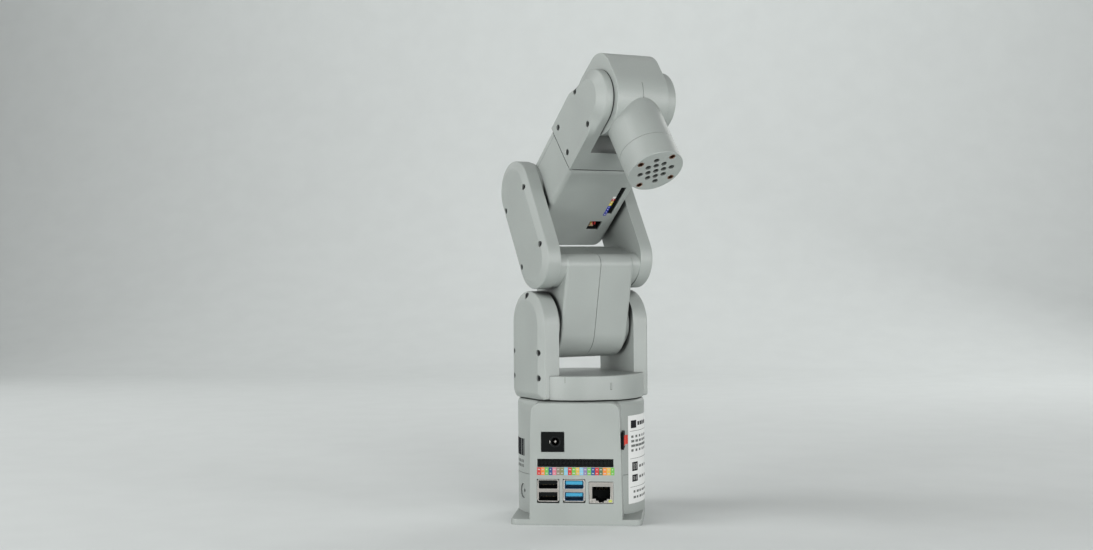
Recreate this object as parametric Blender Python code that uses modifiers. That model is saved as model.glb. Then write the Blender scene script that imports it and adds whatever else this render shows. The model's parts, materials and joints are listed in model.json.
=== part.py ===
"""Desktop six-axis robot arm on a computer base, built from named sub-parts, in metres, +Z up.

The base stands on z = 0 with the turntable axis on the world Z axis and its socket panel facing -Y.
Each moving link has an empty on its joint, and its pieces are parented to that empty. A link's local
X is its pivot axis, local Z runs along the link, and local -Y is the side that faces the sockets.
"""
import math

import bmesh
import bpy
from mathutils import Matrix, Vector

MM = 0.001
GAP = 0.3 * MM
ARC_STEPS = 11
BEVEL_WEIGHT = "bevel_weight_edge"

# Joint angles in the stored pose, in degrees.
TURN_ANGLE = 34.2
BLOCK_LEAN = 11.6
FORK_BEND = -42.0
FOREARM_LEAN = 49.8
HEAD_LEAN = -37.3
FLANGE_TURN = -23.7

# Base.
FOOT_HEIGHT = 4.2 * MM
FOOT_HALF_WIDTH = 45.0 * MM
SPLIT_Z = 31.6 * MM
BASE_TOP = 83.6 * MM
BODY_RADIUS = 45.1 * MM
PANEL_Y = -52.75 * MM
PANEL_HALF_WIDTH = 30.5 * MM
PANEL_FOOT_HALF_WIDTH = 31.8 * MM
PANEL_CORNER = 6.5 * MM
WALL = 2.6 * MM
BOARD_Z = 14.6 * MM
BOARD_THICK = 1.5 * MM
PORT_Z = 15.8 * MM
AUDIO_AZIMUTH = -61
SWITCH_Y = -43.3 * MM
SWITCH_Z = 57.3 * MM
SWITCH_TILT = -9

# Turntable.
DISC_BOTTOM = 84.0 * MM
DISC_TOP = 101.0 * MM
DISC_RADIUS = 45.0 * MM
UPRIGHT_INNER = 30.3 * MM
UPRIGHT_RIM = 41.7 * MM
SIDE_OUTER = 44.5 * MM
UPRIGHT_RADIUS = 23.6 * MM
PIVOT_Z = 135.9 * MM

# Pivots in the two side frames.
HUB_RADIUS = 10.7 * MM
HUB_BORE = 11.3 * MM
POCKET_FLOOR = 3.0 * MM

# Upper arm, in its own frame.
BLOCK_HALF_WIDTH = 26.9 * MM
BLOCK_DEPTH = 21.3 * MM
BLOCK_LENGTH = 47.4 * MM
BLOCK_RISE = 5.9 * MM
FORK_LENGTH = 56.1 * MM
FORK_RADIUS = 21.3 * MM
FORK_INNER = 32.4 * MM
FORK_RIM = 41.5 * MM

# Elbow and forearm, in the elbow's frame.
FOREARM_OFFSET = 8.5 * MM
FOREARM_HALF_WIDTH = 29.9 * MM
FOREARM_RADIUS = 19.8 * MM
ELBOW_BOTTOM = -28.5 * MM
ELBOW_TOP = 52.6 * MM
ELBOW_REAR_DEPTH = 6.5 * MM
WRIST_DISTANCE = 100.2 * MM
TINE_INNER = 20.4 * MM
TINE_RIM = 27.0 * MM
SCOOP_RADIUS = 37.0 * MM

# Head and tool flange, in the head's frame.
HEAD_HALF_WIDTH = 20.0 * MM
HEAD_FRONT = 24.4 * MM
HEAD_TOP = 28.4 * MM
HEAD_CORNER = 16 * MM
NECK_RADIUS = 19.1 * MM
NECK_END = 46.2 * MM
FLANGE_END = 63.4 * MM
HOLE_PITCH = 5.42 * MM
HOLE_RADIUS = 1.75 * MM
HOLE_DEPTH = 5.0 * MM

# Colour, roughness and metallic value of each finish.
SHELL = ("shell", (0.40, 0.43, 0.41), 0.55, 0.0)
COVER = ("cover", (0.37, 0.40, 0.385), 0.55, 0.0)
BLACK = ("black_plastic", (0.012, 0.012, 0.013), 0.45, 0.0)
DARK = ("dark_plastic", (0.03, 0.03, 0.032), 0.6, 0.0)
RED = ("red_plastic", (0.55, 0.03, 0.03), 0.35, 0.0)
WHITE = ("white_plastic", (0.72, 0.70, 0.66), 0.45, 0.0)
STEEL = ("port_steel", (0.55, 0.56, 0.57), 0.3, 1.0)
GREEN = ("board_green", (0.02, 0.14, 0.06), 0.45, 0.0)
BRASS = ("insert_brass", (0.72, 0.50, 0.22), 0.3, 1.0)

for old in list(bpy.data.objects):
    bpy.data.objects.remove(old)

PARTS = bpy.data.collections.new("desktop_robot_arm")
bpy.context.scene.collection.children.link(PARTS)


# ---------------------------------------------------------------- helpers

def material(finish):
    name, colour, roughness, metallic = finish
    found = bpy.data.materials.get(name)
    if found:
        return found
    made = bpy.data.materials.new(name)
    made.use_nodes = True
    shader = made.node_tree.nodes["Principled BSDF"]
    shader.inputs["Base Color"].default_value = (*colour, 1.0)
    shader.inputs["Roughness"].default_value = roughness
    shader.inputs["Metallic"].default_value = metallic
    return made


def empty(name, parent=None, location=(0, 0, 0), rotation=(0, 0, 0)):
    """An axis marker: rotation is in degrees about X, Y and Z."""
    made = bpy.data.objects.new(name, None)
    made.empty_display_size = 10 * MM
    made.location = location
    made.rotation_euler = [math.radians(a) for a in rotation]
    made.parent = parent
    PARTS.objects.link(made)
    return made


def mesh_object(name, mesh):
    made = bpy.data.objects.new(name, mesh)
    PARTS.objects.link(made)
    return made


def arc(centre, radius, start, end, steps=ARC_STEPS):
    """Points of an arc in the plane, angles in degrees."""
    angles = [math.radians(start + (end - start) * i / steps) for i in range(steps + 1)]
    return [(centre[0] + radius * math.cos(a), centre[1] + radius * math.sin(a)) for a in angles]


def stadium(a, b, radius):
    """A slot outline round the segment from a to b."""
    heading = math.degrees(math.atan2(b[1] - a[1], b[0] - a[0]))
    return arc(b, radius, heading - 90, heading + 90) + arc(a, radius, heading + 90, heading + 270)


def slab(name, points, low, high, axis="Z"):
    """A flat outline thickened from low to high. Axis X puts the outline in the YZ plane, Y in XZ."""
    curve = bpy.data.curves.new(name, "CURVE")
    curve.dimensions = "2D"
    curve.fill_mode = "BOTH"
    curve.extrude = (high - low) / 2
    spline = curve.splines.new("POLY")
    spline.points.add(len(points) - 1)
    for point, (x, y) in zip(spline.points, points):
        point.co = (x, y, 0, 1)
    spline.use_cyclic_u = True
    drawn = bpy.data.objects.new(name + "_outline", curve)
    PARTS.objects.link(drawn)
    bpy.context.view_layer.update()
    mesh = bpy.data.meshes.new_from_object(drawn.evaluated_get(bpy.context.evaluated_depsgraph_get()))
    bpy.data.objects.remove(drawn)
    solid = bmesh.new()
    solid.from_mesh(mesh)
    bmesh.ops.remove_doubles(solid, verts=solid.verts, dist=0.00001)
    shift = Matrix.Translation((0, 0, (low + high) / 2))
    turn = {"Z": Matrix(), "X": Matrix(((0, 0, 1, 0), (1, 0, 0, 0), (0, 1, 0, 0), (0, 0, 0, 1))),
            "Y": Matrix(((1, 0, 0, 0), (0, 0, -1, 0), (0, 1, 0, 0), (0, 0, 0, 1)))}[axis]
    bmesh.ops.transform(solid, matrix=turn @ shift, verts=solid.verts)
    bmesh.ops.recalc_face_normals(solid, faces=solid.faces)
    solid.to_mesh(mesh)
    solid.free()
    return mesh_object(name, mesh)


def box(name, low, high):
    """A box between two corners."""
    size = [h - l for l, h in zip(low, high)]
    centre = [(h + l) / 2 for l, h in zip(low, high)]
    solid = bmesh.new()
    bmesh.ops.create_cube(solid, size=1.0, matrix=Matrix.Translation(centre) @ Matrix.Diagonal((*size, 1)))
    mesh = bpy.data.meshes.new(name)
    solid.to_mesh(mesh)
    solid.free()
    return mesh_object(name, mesh)


def cylinder(name, radius, start, end, steps=40):
    """A cylinder between two points."""
    start, end = Vector(start), Vector(end)
    along = end - start
    place = Matrix.Translation((start + end) / 2) @ along.to_track_quat("Z", "Y").to_matrix().to_4x4()
    solid = bmesh.new()
    bmesh.ops.create_cone(solid, cap_ends=True, segments=steps, radius1=radius, radius2=radius,
                          depth=along.length, matrix=place)
    mesh = bpy.data.meshes.new(name)
    solid.to_mesh(mesh)
    solid.free()
    return mesh_object(name, mesh)


def combine(target, operation, *tools):
    """Boolean the tools into the target, apply it, and remove the tools."""
    for tool in tools:
        modifier = target.modifiers.new(operation.lower(), "BOOLEAN")
        modifier.operation = operation
        modifier.object = tool
        bake(target)
        bpy.data.objects.remove(tool)
    return target


def cut(target, *tools):
    return combine(target, "DIFFERENCE", *tools)


def join(target, *tools):
    return combine(target, "UNION", *tools)


def bake(target):
    """Apply the target's modifiers."""
    bpy.context.view_layer.update()
    mesh = bpy.data.meshes.new_from_object(target.evaluated_get(bpy.context.evaluated_depsgraph_get()))
    target.modifiers.clear()
    target.data = mesh
    clean(mesh)


def clean(mesh):
    """Merge the near-coincident points that a boolean can leave on a seam."""
    solid = bmesh.new()
    solid.from_mesh(mesh)
    bmesh.ops.remove_doubles(solid, verts=solid.verts, dist=0.00002)
    bmesh.ops.dissolve_degenerate(solid, edges=solid.edges, dist=0.00001)
    solid.to_mesh(mesh)
    solid.free()


def round_edges(target, width, choose, segments=2):
    """Bevel the sharp edges whose two end points both satisfy choose."""
    mesh = target.data
    weights = mesh.attributes.new(BEVEL_WEIGHT, "FLOAT", "EDGE")
    for edge in mesh.edges:
        ends = [mesh.vertices[i].co for i in edge.vertices]
        weights.data[edge.index].value = 1.0 if all(choose(e) for e in ends) else 0.0
    modifier = target.modifiers.new("round", "BEVEL")
    modifier.width = width
    modifier.segments = segments
    modifier.limit_method = "WEIGHT"
    modifier.use_clamp_overlap = True
    bake(target)
    if BEVEL_WEIGHT in target.data.attributes:
        target.data.attributes.remove(target.data.attributes[BEVEL_WEIGHT])
    return target


def finish(target, finish_of, parent=None, smooth=40):
    """Give the solid its material, its shading and its place under a link."""
    target.data.materials.clear()
    target.data.materials.append(material(finish_of))
    target.data.shade_smooth()
    target.data.set_sharp_from_angle(angle=math.radians(smooth))
    target.parent = parent
    return target


def mirror_left(*right_pieces):
    """Make the left-hand twin of each right-hand piece, across its link's YZ plane."""
    for piece in right_pieces:
        twin = bmesh.new()
        twin.from_mesh(piece.data)
        bmesh.ops.transform(twin, matrix=Matrix.Diagonal((-1, 1, 1, 1)), verts=twin.verts)
        bmesh.ops.reverse_faces(twin, faces=twin.faces)
        mesh = bpy.data.meshes.new(piece.name.replace("_right", "_left"))
        twin.to_mesh(mesh)
        twin.free()
        mesh.materials.append(piece.data.materials[0])
        mesh.set_sharp_from_angle(angle=math.radians(40))
        mesh_object(mesh.name, mesh).parent = piece.parent


def taper_to_spine(target, a, b, level, ratio):
    """Draw the points beyond level along X towards the segment from a to b, given in the YZ plane."""
    a, b = Vector(a), Vector(b)
    for vertex in target.data.vertices:
        if abs(vertex.co.x) < level:
            continue
        point = Vector((vertex.co.y, vertex.co.z))
        along = (point - a).dot(b - a) / (b - a).length_squared
        spine = a + (b - a) * min(max(along, 0.0), 1.0)
        drawn = spine + (point - spine) * ratio
        vertex.co.y, vertex.co.z = drawn


# ---------------------------------------------------------------- base

def panel_half_width(z):
    """The socket box narrows a little towards the top."""
    return PANEL_FOOT_HALF_WIDTH + (PANEL_HALF_WIDTH - PANEL_FOOT_HALF_WIDTH) * z / BASE_TOP


def body_solid(name, low, high, inset):
    """The round body with its flat-fronted socket box, shrunk by inset, between two heights."""
    is_top = high > 80 * MM
    drum_high = high if is_top else high + 2 * MM
    panel_high = high - 0.06 * MM if is_top else high + 3 * MM
    panel_low = low - 3 * MM
    half_low = panel_half_width(panel_low) - inset
    half_high = panel_half_width(panel_high) - inset
    corner = (PANEL_CORNER if is_top else 2 * MM) - inset * 0.5
    front = [(-half_low, panel_low), (half_low, panel_low)]
    front += arc((half_high - corner, panel_high - corner), corner, 0, 90, 5)
    front += arc((-half_high + corner, panel_high - corner), corner, 90, 180, 5)
    drum = cylinder(name, BODY_RADIUS - inset, (0, 0, low - 2 * MM), (0, 0, drum_high), 52)
    if is_top:
        round_edges(drum, 3.5 * MM - inset, lambda p: p.z > drum_high - MM, 2)
    join(drum, slab("panel_tool", front, 24 * MM, -(PANEL_Y + inset), "Y"))
    wide = 80 * MM
    cut(drum, box("below", (-wide, -wide, low - 9 * MM), (wide, wide, low)))
    if not is_top:
        cut(drum, box("above", (-wide, -wide, high), (wide, wide, high + 9 * MM)))
    return drum


def foot_plate():
    """The flat plate under the body, with four screw holes."""
    corner = 5 * MM
    front = PANEL_Y
    side = FOOT_HALF_WIDTH
    points = arc((side - corner, front + corner), corner, -90, 0, 5)
    points += arc((0, 0), side + 0.2 * MM, 0, 180, 36)
    points += arc((-side + corner, front + corner), corner, 180, 270, 5)
    plate = slab("foot_plate", points, 0, FOOT_HEIGHT)
    for x, y in ((-32, -38), (32, -38), (-27, 24), (27, 24)):
        low = (x * MM, y * MM, -MM)
        high = (x * MM, y * MM, FOOT_HEIGHT + MM)
        cut(plate, cylinder("hole", 1.8 * MM, low, high, 12))
    finish(plate, SHELL)


def audio_axis():
    """A point on the turntable axis at the audio socket's height, and the way the socket faces."""
    azimuth = math.radians(AUDIO_AZIMUTH)
    return Vector((0, 0, 18.9 * MM)), Vector((math.sin(azimuth), -math.cos(azimuth), 0))


def lower_shell():
    """The lower half of the body, open at the bottom, with windows for the sockets."""
    low = FOOT_HEIGHT + GAP
    shell = body_solid("lower_shell", low, SPLIT_Z, 0)
    cut(shell, body_solid("hollow", low - MM, SPLIT_Z + MM, WALL))
    for left, right, top in ((-26.6, -11.1, 31.7), (-8.7, 6.6, 31.7), (8.9, 25.7, 30.2)):
        window_low = (left * MM, PANEL_Y - MM, 15.4 * MM)
        window_high = (right * MM, PANEL_Y + 4 * MM, top * MM)
        cut(shell, box("window", window_low, window_high))
    centre, outward = audio_axis()
    cut(shell, cylinder("jack_hole", 5.3 * MM, centre + outward * 38 * MM, centre + outward * 50 * MM, 24))
    finish(shell, SHELL)


def upper_shell():
    """The upper half of the body, closed on top round the hub hole."""
    low = SPLIT_Z + GAP
    shell = body_solid("upper_shell", low, BASE_TOP, 0)
    cut(shell, body_solid("hollow", low - MM, BASE_TOP - 3 * MM, WALL))
    cut(shell, cylinder("hub_hole", 17 * MM, (0, 0, 70 * MM), (0, 0, 90 * MM), 40))
    back = PANEL_Y + 4 * MM
    cut(shell, box("power_window", (-23.3 * MM, PANEL_Y - MM, 50.2 * MM), (-7.6 * MM, back, 63.7 * MM)))
    cut(shell, box("header_window", (-26.0 * MM, PANEL_Y - MM, 39.7 * MM), (26.0 * MM, back, 45.5 * MM)))
    cut(shell, box("switch_window", (26 * MM, SWITCH_Y - 6.9 * MM, SWITCH_Z - 4.9 * MM),
                   (34 * MM, SWITCH_Y + 6.9 * MM, SWITCH_Z + 4.9 * MM)))
    finish(shell, SHELL)


def computer_board():
    """The computer board with its main chip."""
    board = box("computer_board", (-28 * MM, -50 * MM, BOARD_Z - BOARD_THICK), (28 * MM, 31.5 * MM, BOARD_Z))
    round_edges(board, 5 * MM, lambda p: p.y > 30 * MM, 3)
    chip = box("chip", (-8 * MM, -8 * MM, BOARD_Z - 0.2 * MM), (8 * MM, 8 * MM, BOARD_Z + 2 * MM))
    return finish(join(board, chip), GREEN)


def usb_stack(name, centre_x):
    """A double socket: two mouths, each with a contact tongue near its roof, held by its back wall."""
    half = 7.3 * MM
    mouth_half = 6.4 * MM
    mouth_height = 5.6 * MM
    tongue_half = 5.6 * MM
    front = PANEL_Y - 0.2 * MM
    back = PANEL_Y + 17.5 * MM
    stack = box(name, (centre_x - half, front, PORT_Z - 0.1 * MM), (centre_x + half, back, 31.4 * MM))
    for low in (17.1 * MM, 24.9 * MM):
        high = low + mouth_height
        mouth = box("mouth", (centre_x - mouth_half, front - MM, low),
                    (centre_x + mouth_half, front + 9.6 * MM, high))
        tongue = box("tongue", (centre_x - tongue_half, front + MM, high - 1.2 * MM),
                     (centre_x + tongue_half, front + 11 * MM, high - 0.3 * MM))
        cut(stack, cut(mouth, tongue))
    return finish(stack, STEEL)


def ethernet_jack():
    """The network socket with the latch notch below its mouth."""
    front = PANEL_Y - 0.2 * MM
    back = PANEL_Y + 21 * MM
    jack = box("ethernet_jack", (9.2 * MM, front, PORT_Z - 0.1 * MM), (25.4 * MM, back, 29.9 * MM))
    mouth = box("mouth", (11.4 * MM, front - MM, 18.6 * MM), (23.2 * MM, front + 12 * MM, 26.8 * MM))
    latch = box("latch", (14.8 * MM, front - MM, 16.6 * MM), (19.8 * MM, front + 8 * MM, 19.6 * MM))
    return finish(cut(jack, join(mouth, latch)), STEEL)


def pin_header():
    """The black two-row socket strip in the panel."""
    half = 25.6 * MM
    strip = box("pin_header", (-half, PANEL_Y + 0.2 * MM, 40.1 * MM), (half, PANEL_Y + 8 * MM, 45.1 * MM))
    return finish(strip, BLACK)


def header_board():
    """The small board behind the socket strip."""
    front = PANEL_Y + 8.3 * MM
    board = box("header_board", (-27.2 * MM, front, 34.5 * MM), (27.2 * MM, front + 1.5 * MM, 48 * MM))
    return finish(board, GREEN)


def power_jack():
    """The round power socket with its centre pin."""
    front = PANEL_Y + 0.5 * MM
    low = (-23.0 * MM, front, 50.5 * MM)
    jack = box("power_jack", low, (-7.9 * MM, PANEL_Y + 13 * MM, 63.4 * MM))
    x, z = -13.8 * MM, 57 * MM
    mouth = cylinder("mouth", 2.9 * MM, (x, front - MM, z), (x, front + 9 * MM, z), 20)
    pin = cylinder("pin", 0.95 * MM, (x, front + MM, z), (x, front + 10 * MM, z), 10)
    return finish(cut(jack, cut(mouth, pin)), BLACK)


def audio_jack():
    """The small round socket in the left flank."""
    centre, outward = audio_axis()
    jack = cylinder("audio_jack", 3.4 * MM, centre + outward * 30 * MM, centre + outward * 43.5 * MM, 20)
    cut(jack, cylinder("mouth", 1.9 * MM, centre + outward * 34 * MM, centre + outward * 50 * MM, 14))
    return finish(jack, BLACK)


def switch_box(name, left, right, half_y, half_z):
    """A box centred on the switch, from left to right along X."""
    low = (left, SWITCH_Y - half_y, SWITCH_Z - half_z)
    return box(name, low, (right, SWITCH_Y + half_y, SWITCH_Z + half_z))


def power_switch():
    """A bezel let into the right side of the socket box, and the rocker that tips inside it."""
    face = 31.0 * MM
    bezel = switch_box("switch_bezel", 26.5 * MM, face, 6.6 * MM, 4.6 * MM)
    neck = switch_box("neck", face - MM, face + MM, 6.6 * MM, 4.6 * MM)
    rim = switch_box("rim", face + 0.35 * MM, face + 2.1 * MM, 7.6 * MM, 5.9 * MM)
    join(bezel, neck, rim)
    cut(bezel, switch_box("well", face - 3.5 * MM, face + 5 * MM, 5.7 * MM, 3.4 * MM))
    finish(bezel, BLACK)
    axis = empty("switch_axis", None, (face + 0.4 * MM, SWITCH_Y, SWITCH_Z), (0, 0, SWITCH_TILT))
    outline = arc((-1.4 * MM, 0), 1.6 * MM, 100, 260, 6)
    right_side = ((1.8, -5.1), (3.1, -5.0), (2.0, 0), (3.1, 5.0), (1.8, 5.1))
    outline += [(x * MM, y * MM) for x, y in right_side]
    rocker = slab("switch_rocker", outline, -3.1 * MM, 3.1 * MM)
    finish(rocker, RED, axis)


def turntable_drive():
    """The base servo and the bearing ring that the turntable's hub turns in."""
    servo = box("j1_servo", (-17 * MM, -20 * MM, 40 * MM), (17 * MM, 20 * MM, 67 * MM))
    join(servo, cylinder("spigot", 8 * MM, (0, 0, 66 * MM), (0, 0, 69 * MM), 28))
    finish(servo, DARK)
    ring = cylinder("j1_bearing", 22 * MM, (0, 0, 70.5 * MM), (0, 0, 80.2 * MM), 40)
    cut(ring, cylinder("bore", 15.2 * MM, (0, 0, 69 * MM), (0, 0, 82 * MM), 36))
    finish(ring, STEEL)


# ---------------------------------------------------------------- turntable

def turn_disc(link):
    """The disc that carries the uprights in two slots, with its hub below and two index marks."""
    disc = cylinder("turn_disc", DISC_RADIUS, (0, 0, DISC_BOTTOM), (0, 0, DISC_TOP), 56)
    round_edges(disc, 0.7 * MM, lambda p: True, 1)
    reach = UPRIGHT_RADIUS + GAP
    for side in (-1, 1):
        near = side * (UPRIGHT_INNER - GAP)
        far = side * 60 * MM
        cut(disc, box("slot", (min(near, far), -reach, 80 * MM), (max(near, far), reach, 110 * MM)))
    for azimuth, low, high in ((-43.6, 96.4, 102), (-2.1, 91.4, 96.2)):
        angle = math.radians(azimuth)
        mark = box("mark", (-0.4 * MM, -0.6 * MM, low * MM), (0.4 * MM, 0.6 * MM, high * MM))
        mark.rotation_euler = (0, 0, angle)
        mark.location = (math.sin(angle) * DISC_RADIUS, -math.cos(angle) * DISC_RADIUS, 0)
        cut(disc, mark)
    hub = cylinder("hub", 14.8 * MM, (0, 0, 69.6 * MM), (0, 0, DISC_BOTTOM + MM), 36)
    finish(join(disc, hub), SHELL, link)


def uprights(link):
    """Each upright is a hollow frame on the disc's flank and the chamfered cover that closes it."""
    top = (0, PIVOT_Z)
    bottom = (0, DISC_BOTTOM + 8 * MM)

    def outline(inset):
        half = UPRIGHT_RADIUS - inset
        corner = 8 * MM - inset
        low = DISC_BOTTOM + inset
        points = arc(top, half, 0, 180)
        points += arc((-half + corner, low + corner), corner, 180, 270, 5)
        points += arc((half - corner, low + corner), corner, 270, 360, 5)
        return points

    frame = slab("upright_frame_right", outline(0), UPRIGHT_INNER, UPRIGHT_RIM, "X")
    cut(frame, slab("pocket", outline(WALL), UPRIGHT_INNER + POCKET_FLOOR, UPRIGHT_RIM + MM, "X"))
    cut(frame, cylinder("bore", HUB_BORE, (20 * MM, 0, PIVOT_Z), (50 * MM, 0, PIVOT_Z), 24))
    finish(frame, SHELL, link)
    cover = slab("upright_cover_right", outline(0), UPRIGHT_RIM + GAP, SIDE_OUTER, "X")
    taper_to_spine(cover, bottom, top, SIDE_OUTER - 0.01 * MM, 1 - 6.0 * MM / UPRIGHT_RADIUS)
    for y, z in ((0, 20.4), (-18, -19), (18, -19), (-18, -36.6), (18, -36.6)):
        screw_hole(cover, y * MM, PIVOT_Z + z * MM, SIDE_OUTER)
    finish(cover, COVER, link)
    ring = bearing("j2_bearing_right", UPRIGHT_INNER, top, link)
    mirror_left(frame, cover, ring)


def screw_hole(cover, y, z, outer):
    """A blind screw hole in a side cover."""
    cut(cover, cylinder("screw_hole", 1.6 * MM, (outer - 1.7 * MM, y, z), (outer + 3 * MM, y, z), 8))


def bearing(name, inner, centre, link):
    """The ring in a side frame's pocket that a pivot hub turns in; centre is in the YZ plane."""
    start = inner + POCKET_FLOOR + GAP
    ring = cylinder(name, 13.8 * MM, (start, *centre), (start + 4.5 * MM, *centre), 24)
    cut(ring, cylinder("bore", 11.0 * MM, (20 * MM, *centre), (50 * MM, *centre), 24))
    return finish(ring, STEEL, link)


# ---------------------------------------------------------------- upper arm

def fork_centres():
    """The lower and upper centres of the fork arms, in the upper arm's YZ plane."""
    bend = math.radians(-FORK_BEND)
    low = Vector((0, BLOCK_LENGTH))
    high = low + Vector((math.sin(bend), math.cos(bend))) * FORK_LENGTH
    return low, high


def upper_halves(link):
    """Each half of the central block carries the fork arm on its flank as one moulding."""
    low, high = fork_centres()
    top = BLOCK_LENGTH + BLOCK_RISE

    def lipped_outline(lower, half, roof, lip):
        points = list(lower)
        points += arc((half - lip, roof - lip), lip, 0, 90, 4)
        points += arc((-half + lip, roof - lip), lip, 90, 180, 4)
        return points

    def block_outline(inset):
        depth = BLOCK_DEPTH - inset
        return lipped_outline(arc((0, -2.7 * MM), depth, 180, 360), depth, top - inset, 7.6 * MM - inset)

    radius = FORK_RADIUS - 0.6 * MM
    cross_outline = lipped_outline(arc(low, radius, 186, 354, 15), radius, top - 0.05 * MM, 7.5 * MM)
    half = slab("upper_half_right", block_outline(0), GAP / 2, BLOCK_HALF_WIDTH, "X")
    round_edges(half, 4.6 * MM, lambda p: p.x > BLOCK_HALF_WIDTH - MM)
    cut(half, slab("hollow", block_outline(3 * MM), -MM, BLOCK_HALF_WIDTH - 3 * MM, "X"))
    cross = slab("cross", cross_outline, BLOCK_HALF_WIDTH - 6.3 * MM, FORK_INNER + MM, "X")
    arm = slab("arm", stadium(low, high, FORK_RADIUS), FORK_INNER, FORK_RIM, "X")
    pocket = stadium(low, high, FORK_RADIUS - WALL)
    cut(arm, slab("pocket", pocket, FORK_INNER + POCKET_FLOOR, FORK_RIM + MM, "X"))
    join(half, cross, arm)
    cut(half, cylinder("hub_bore", HUB_BORE, (28 * MM, *high), (50 * MM, *high), 24))
    wall = BLOCK_HALF_WIDTH - 1.8 * MM
    collar = cylinder("collar", 18.7 * MM, (wall, 0, 0), (UPRIGHT_INNER - 0.6 * MM, 0, 0), 28)
    hub = cylinder("hub", HUB_RADIUS, (wall - 0.3 * MM, 0, 0), (39 * MM, 0, 0), 24)
    join(half, collar, hub)
    finish(half, SHELL, link)
    cover = slab("arm_cover_right", stadium(low, high, FORK_RADIUS), FORK_RIM + GAP, SIDE_OUTER, "X")
    taper_to_spine(cover, low, high, SIDE_OUTER - 0.01 * MM, 1 - 5.4 * MM / FORK_RADIUS)
    along = (high - low).normalized()
    across = Vector((-along.y, along.x))
    for distance in (2.3 * MM, 49.2 * MM):
        for offset in (-15.7 * MM, 15.7 * MM):
            spot = low + along * distance + across * offset
            screw_hole(cover, spot.x, spot.y, SIDE_OUTER)
    finish(cover, COVER, link)
    mirror_left(half, cover, bearing("j3_bearing_right", FORK_INNER, high, link))


def shoulder_servo(link):
    """The shoulder servo inside the block."""
    servo = box("j2_servo", (-20 * MM, -14.5 * MM, -11 * MM), (20 * MM, 14.5 * MM, 27 * MM))
    finish(servo, DARK, link)


# ---------------------------------------------------------------- elbow

def elbow_solid(name, inset, back, front):
    """The elbow's rounded box between two depths, shrunk by inset."""
    half = FOREARM_HALF_WIDTH - inset
    corner = 7 * MM - inset
    low = ELBOW_BOTTOM + inset
    points = arc((-half + corner, low + corner), corner, 180, 270, 4)
    points += arc((half - corner, low + corner), corner, 270, 360, 4)
    points += [(half, ELBOW_TOP - inset), (-half, ELBOW_TOP - inset)]
    return slab(name, points, back, front, "Y")


def elbow_shells(link):
    """The front shell with its windows, and the rear shell that closes it."""
    front = FOREARM_OFFSET + FOREARM_RADIUS
    back = FOREARM_OFFSET - FOREARM_RADIUS
    split = back + ELBOW_REAR_DEPTH
    shell = elbow_solid("elbow_front", 0, split + GAP, front)
    round_edges(shell, 5 * MM, lambda p: p.y < -front + MM and p.z < ELBOW_TOP - MM or
                (p.y < -front + MM and abs(p.x) > FOREARM_HALF_WIDTH - MM), 3)
    cut(shell, elbow_solid("hollow", WALL, split - MM, front - WALL))
    cut(shell, box("port_window", (9.3 * MM, -front - MM, -8.6 * MM), (18.1 * MM, -front + 4 * MM, 1.2 * MM)))
    cut(shell, box("header_window", (17.5 * MM, -front - MM, 8.6 * MM),
                   (21.7 * MM, -front + 4 * MM, 36.4 * MM)))
    rear = elbow_solid("elbow_rear", 0, back, split)
    round_edges(rear, 5 * MM, lambda p: p.y > -back - MM and (p.z < ELBOW_TOP - MM or
                abs(p.x) > FOREARM_HALF_WIDTH - MM), 3)
    cut(rear, elbow_solid("hollow", WALL, back + WALL, split + MM))
    bore_low = (0, -FOREARM_OFFSET, ELBOW_TOP - 6 * MM)
    bore_high = (0, -FOREARM_OFFSET, ELBOW_TOP + 6 * MM)
    for part in (shell, rear):
        cut(part, cylinder("roll_bore", 14 * MM, bore_low, bore_high, 28))
        for side in (-1, 1):
            cut(part, cylinder("hub_seat", 12.3 * MM, (side * 24 * MM, 0, 0), (side * 34 * MM, 0, 0), 24))
        finish(part, SHELL, link)


def elbow_inside(link):
    """Servos, pivot hubs, the controller board and its two sockets."""
    hub = cylinder("j3_hub_right", HUB_RADIUS, (25.0 * MM, 0, 0), (39.6 * MM, 0, 0), 24)
    collar_low = (FOREARM_HALF_WIDTH + GAP, 0, 0)
    collar_high = (FORK_INNER - 0.5 * MM, 0, 0)
    collar = cylinder("collar", 20.5 * MM, collar_low, collar_high, 28)
    mirror_left(finish(join(hub, collar), DARK, link))
    servo = box("j3_servo", (-19 * MM, -9 * MM, -20 * MM), (19 * MM, 7.6 * MM, 14 * MM))
    finish(servo, DARK, link)
    middle = FOREARM_OFFSET
    roll = box("j4_servo", (-14 * MM, -middle - 9 * MM, 16 * MM), (14 * MM, -middle + 9 * MM, 43 * MM))
    finish(roll, DARK, link)
    front = -(FOREARM_OFFSET + FOREARM_RADIUS)
    board = box("elbow_board", (2 * MM, front + 8.2 * MM, -16 * MM), (25 * MM, front + 9.7 * MM, 40 * MM))
    finish(board, GREEN, link)
    port = box("elbow_port", (9.7 * MM, front + 0.8 * MM, -8.2 * MM), (17.7 * MM, front + 7.9 * MM, 0.8 * MM))
    well = box("well", (10.7 * MM, front - MM, -7.2 * MM), (16.7 * MM, front + 6 * MM, -0.2 * MM))
    plug_pins = box("pins", (13.1 * MM, front + 2.4 * MM, -6.6 * MM), (14.3 * MM, front + 8 * MM, -0.8 * MM))
    finish(cut(port, cut(well, plug_pins)), WHITE, link)
    strip = box("elbow_header", (17.9 * MM, front + 0.8 * MM, 9.0 * MM),
                (21.3 * MM, front + 7.9 * MM, 36.0 * MM))
    finish(strip, BLACK, link)


# ---------------------------------------------------------------- forearm

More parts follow.
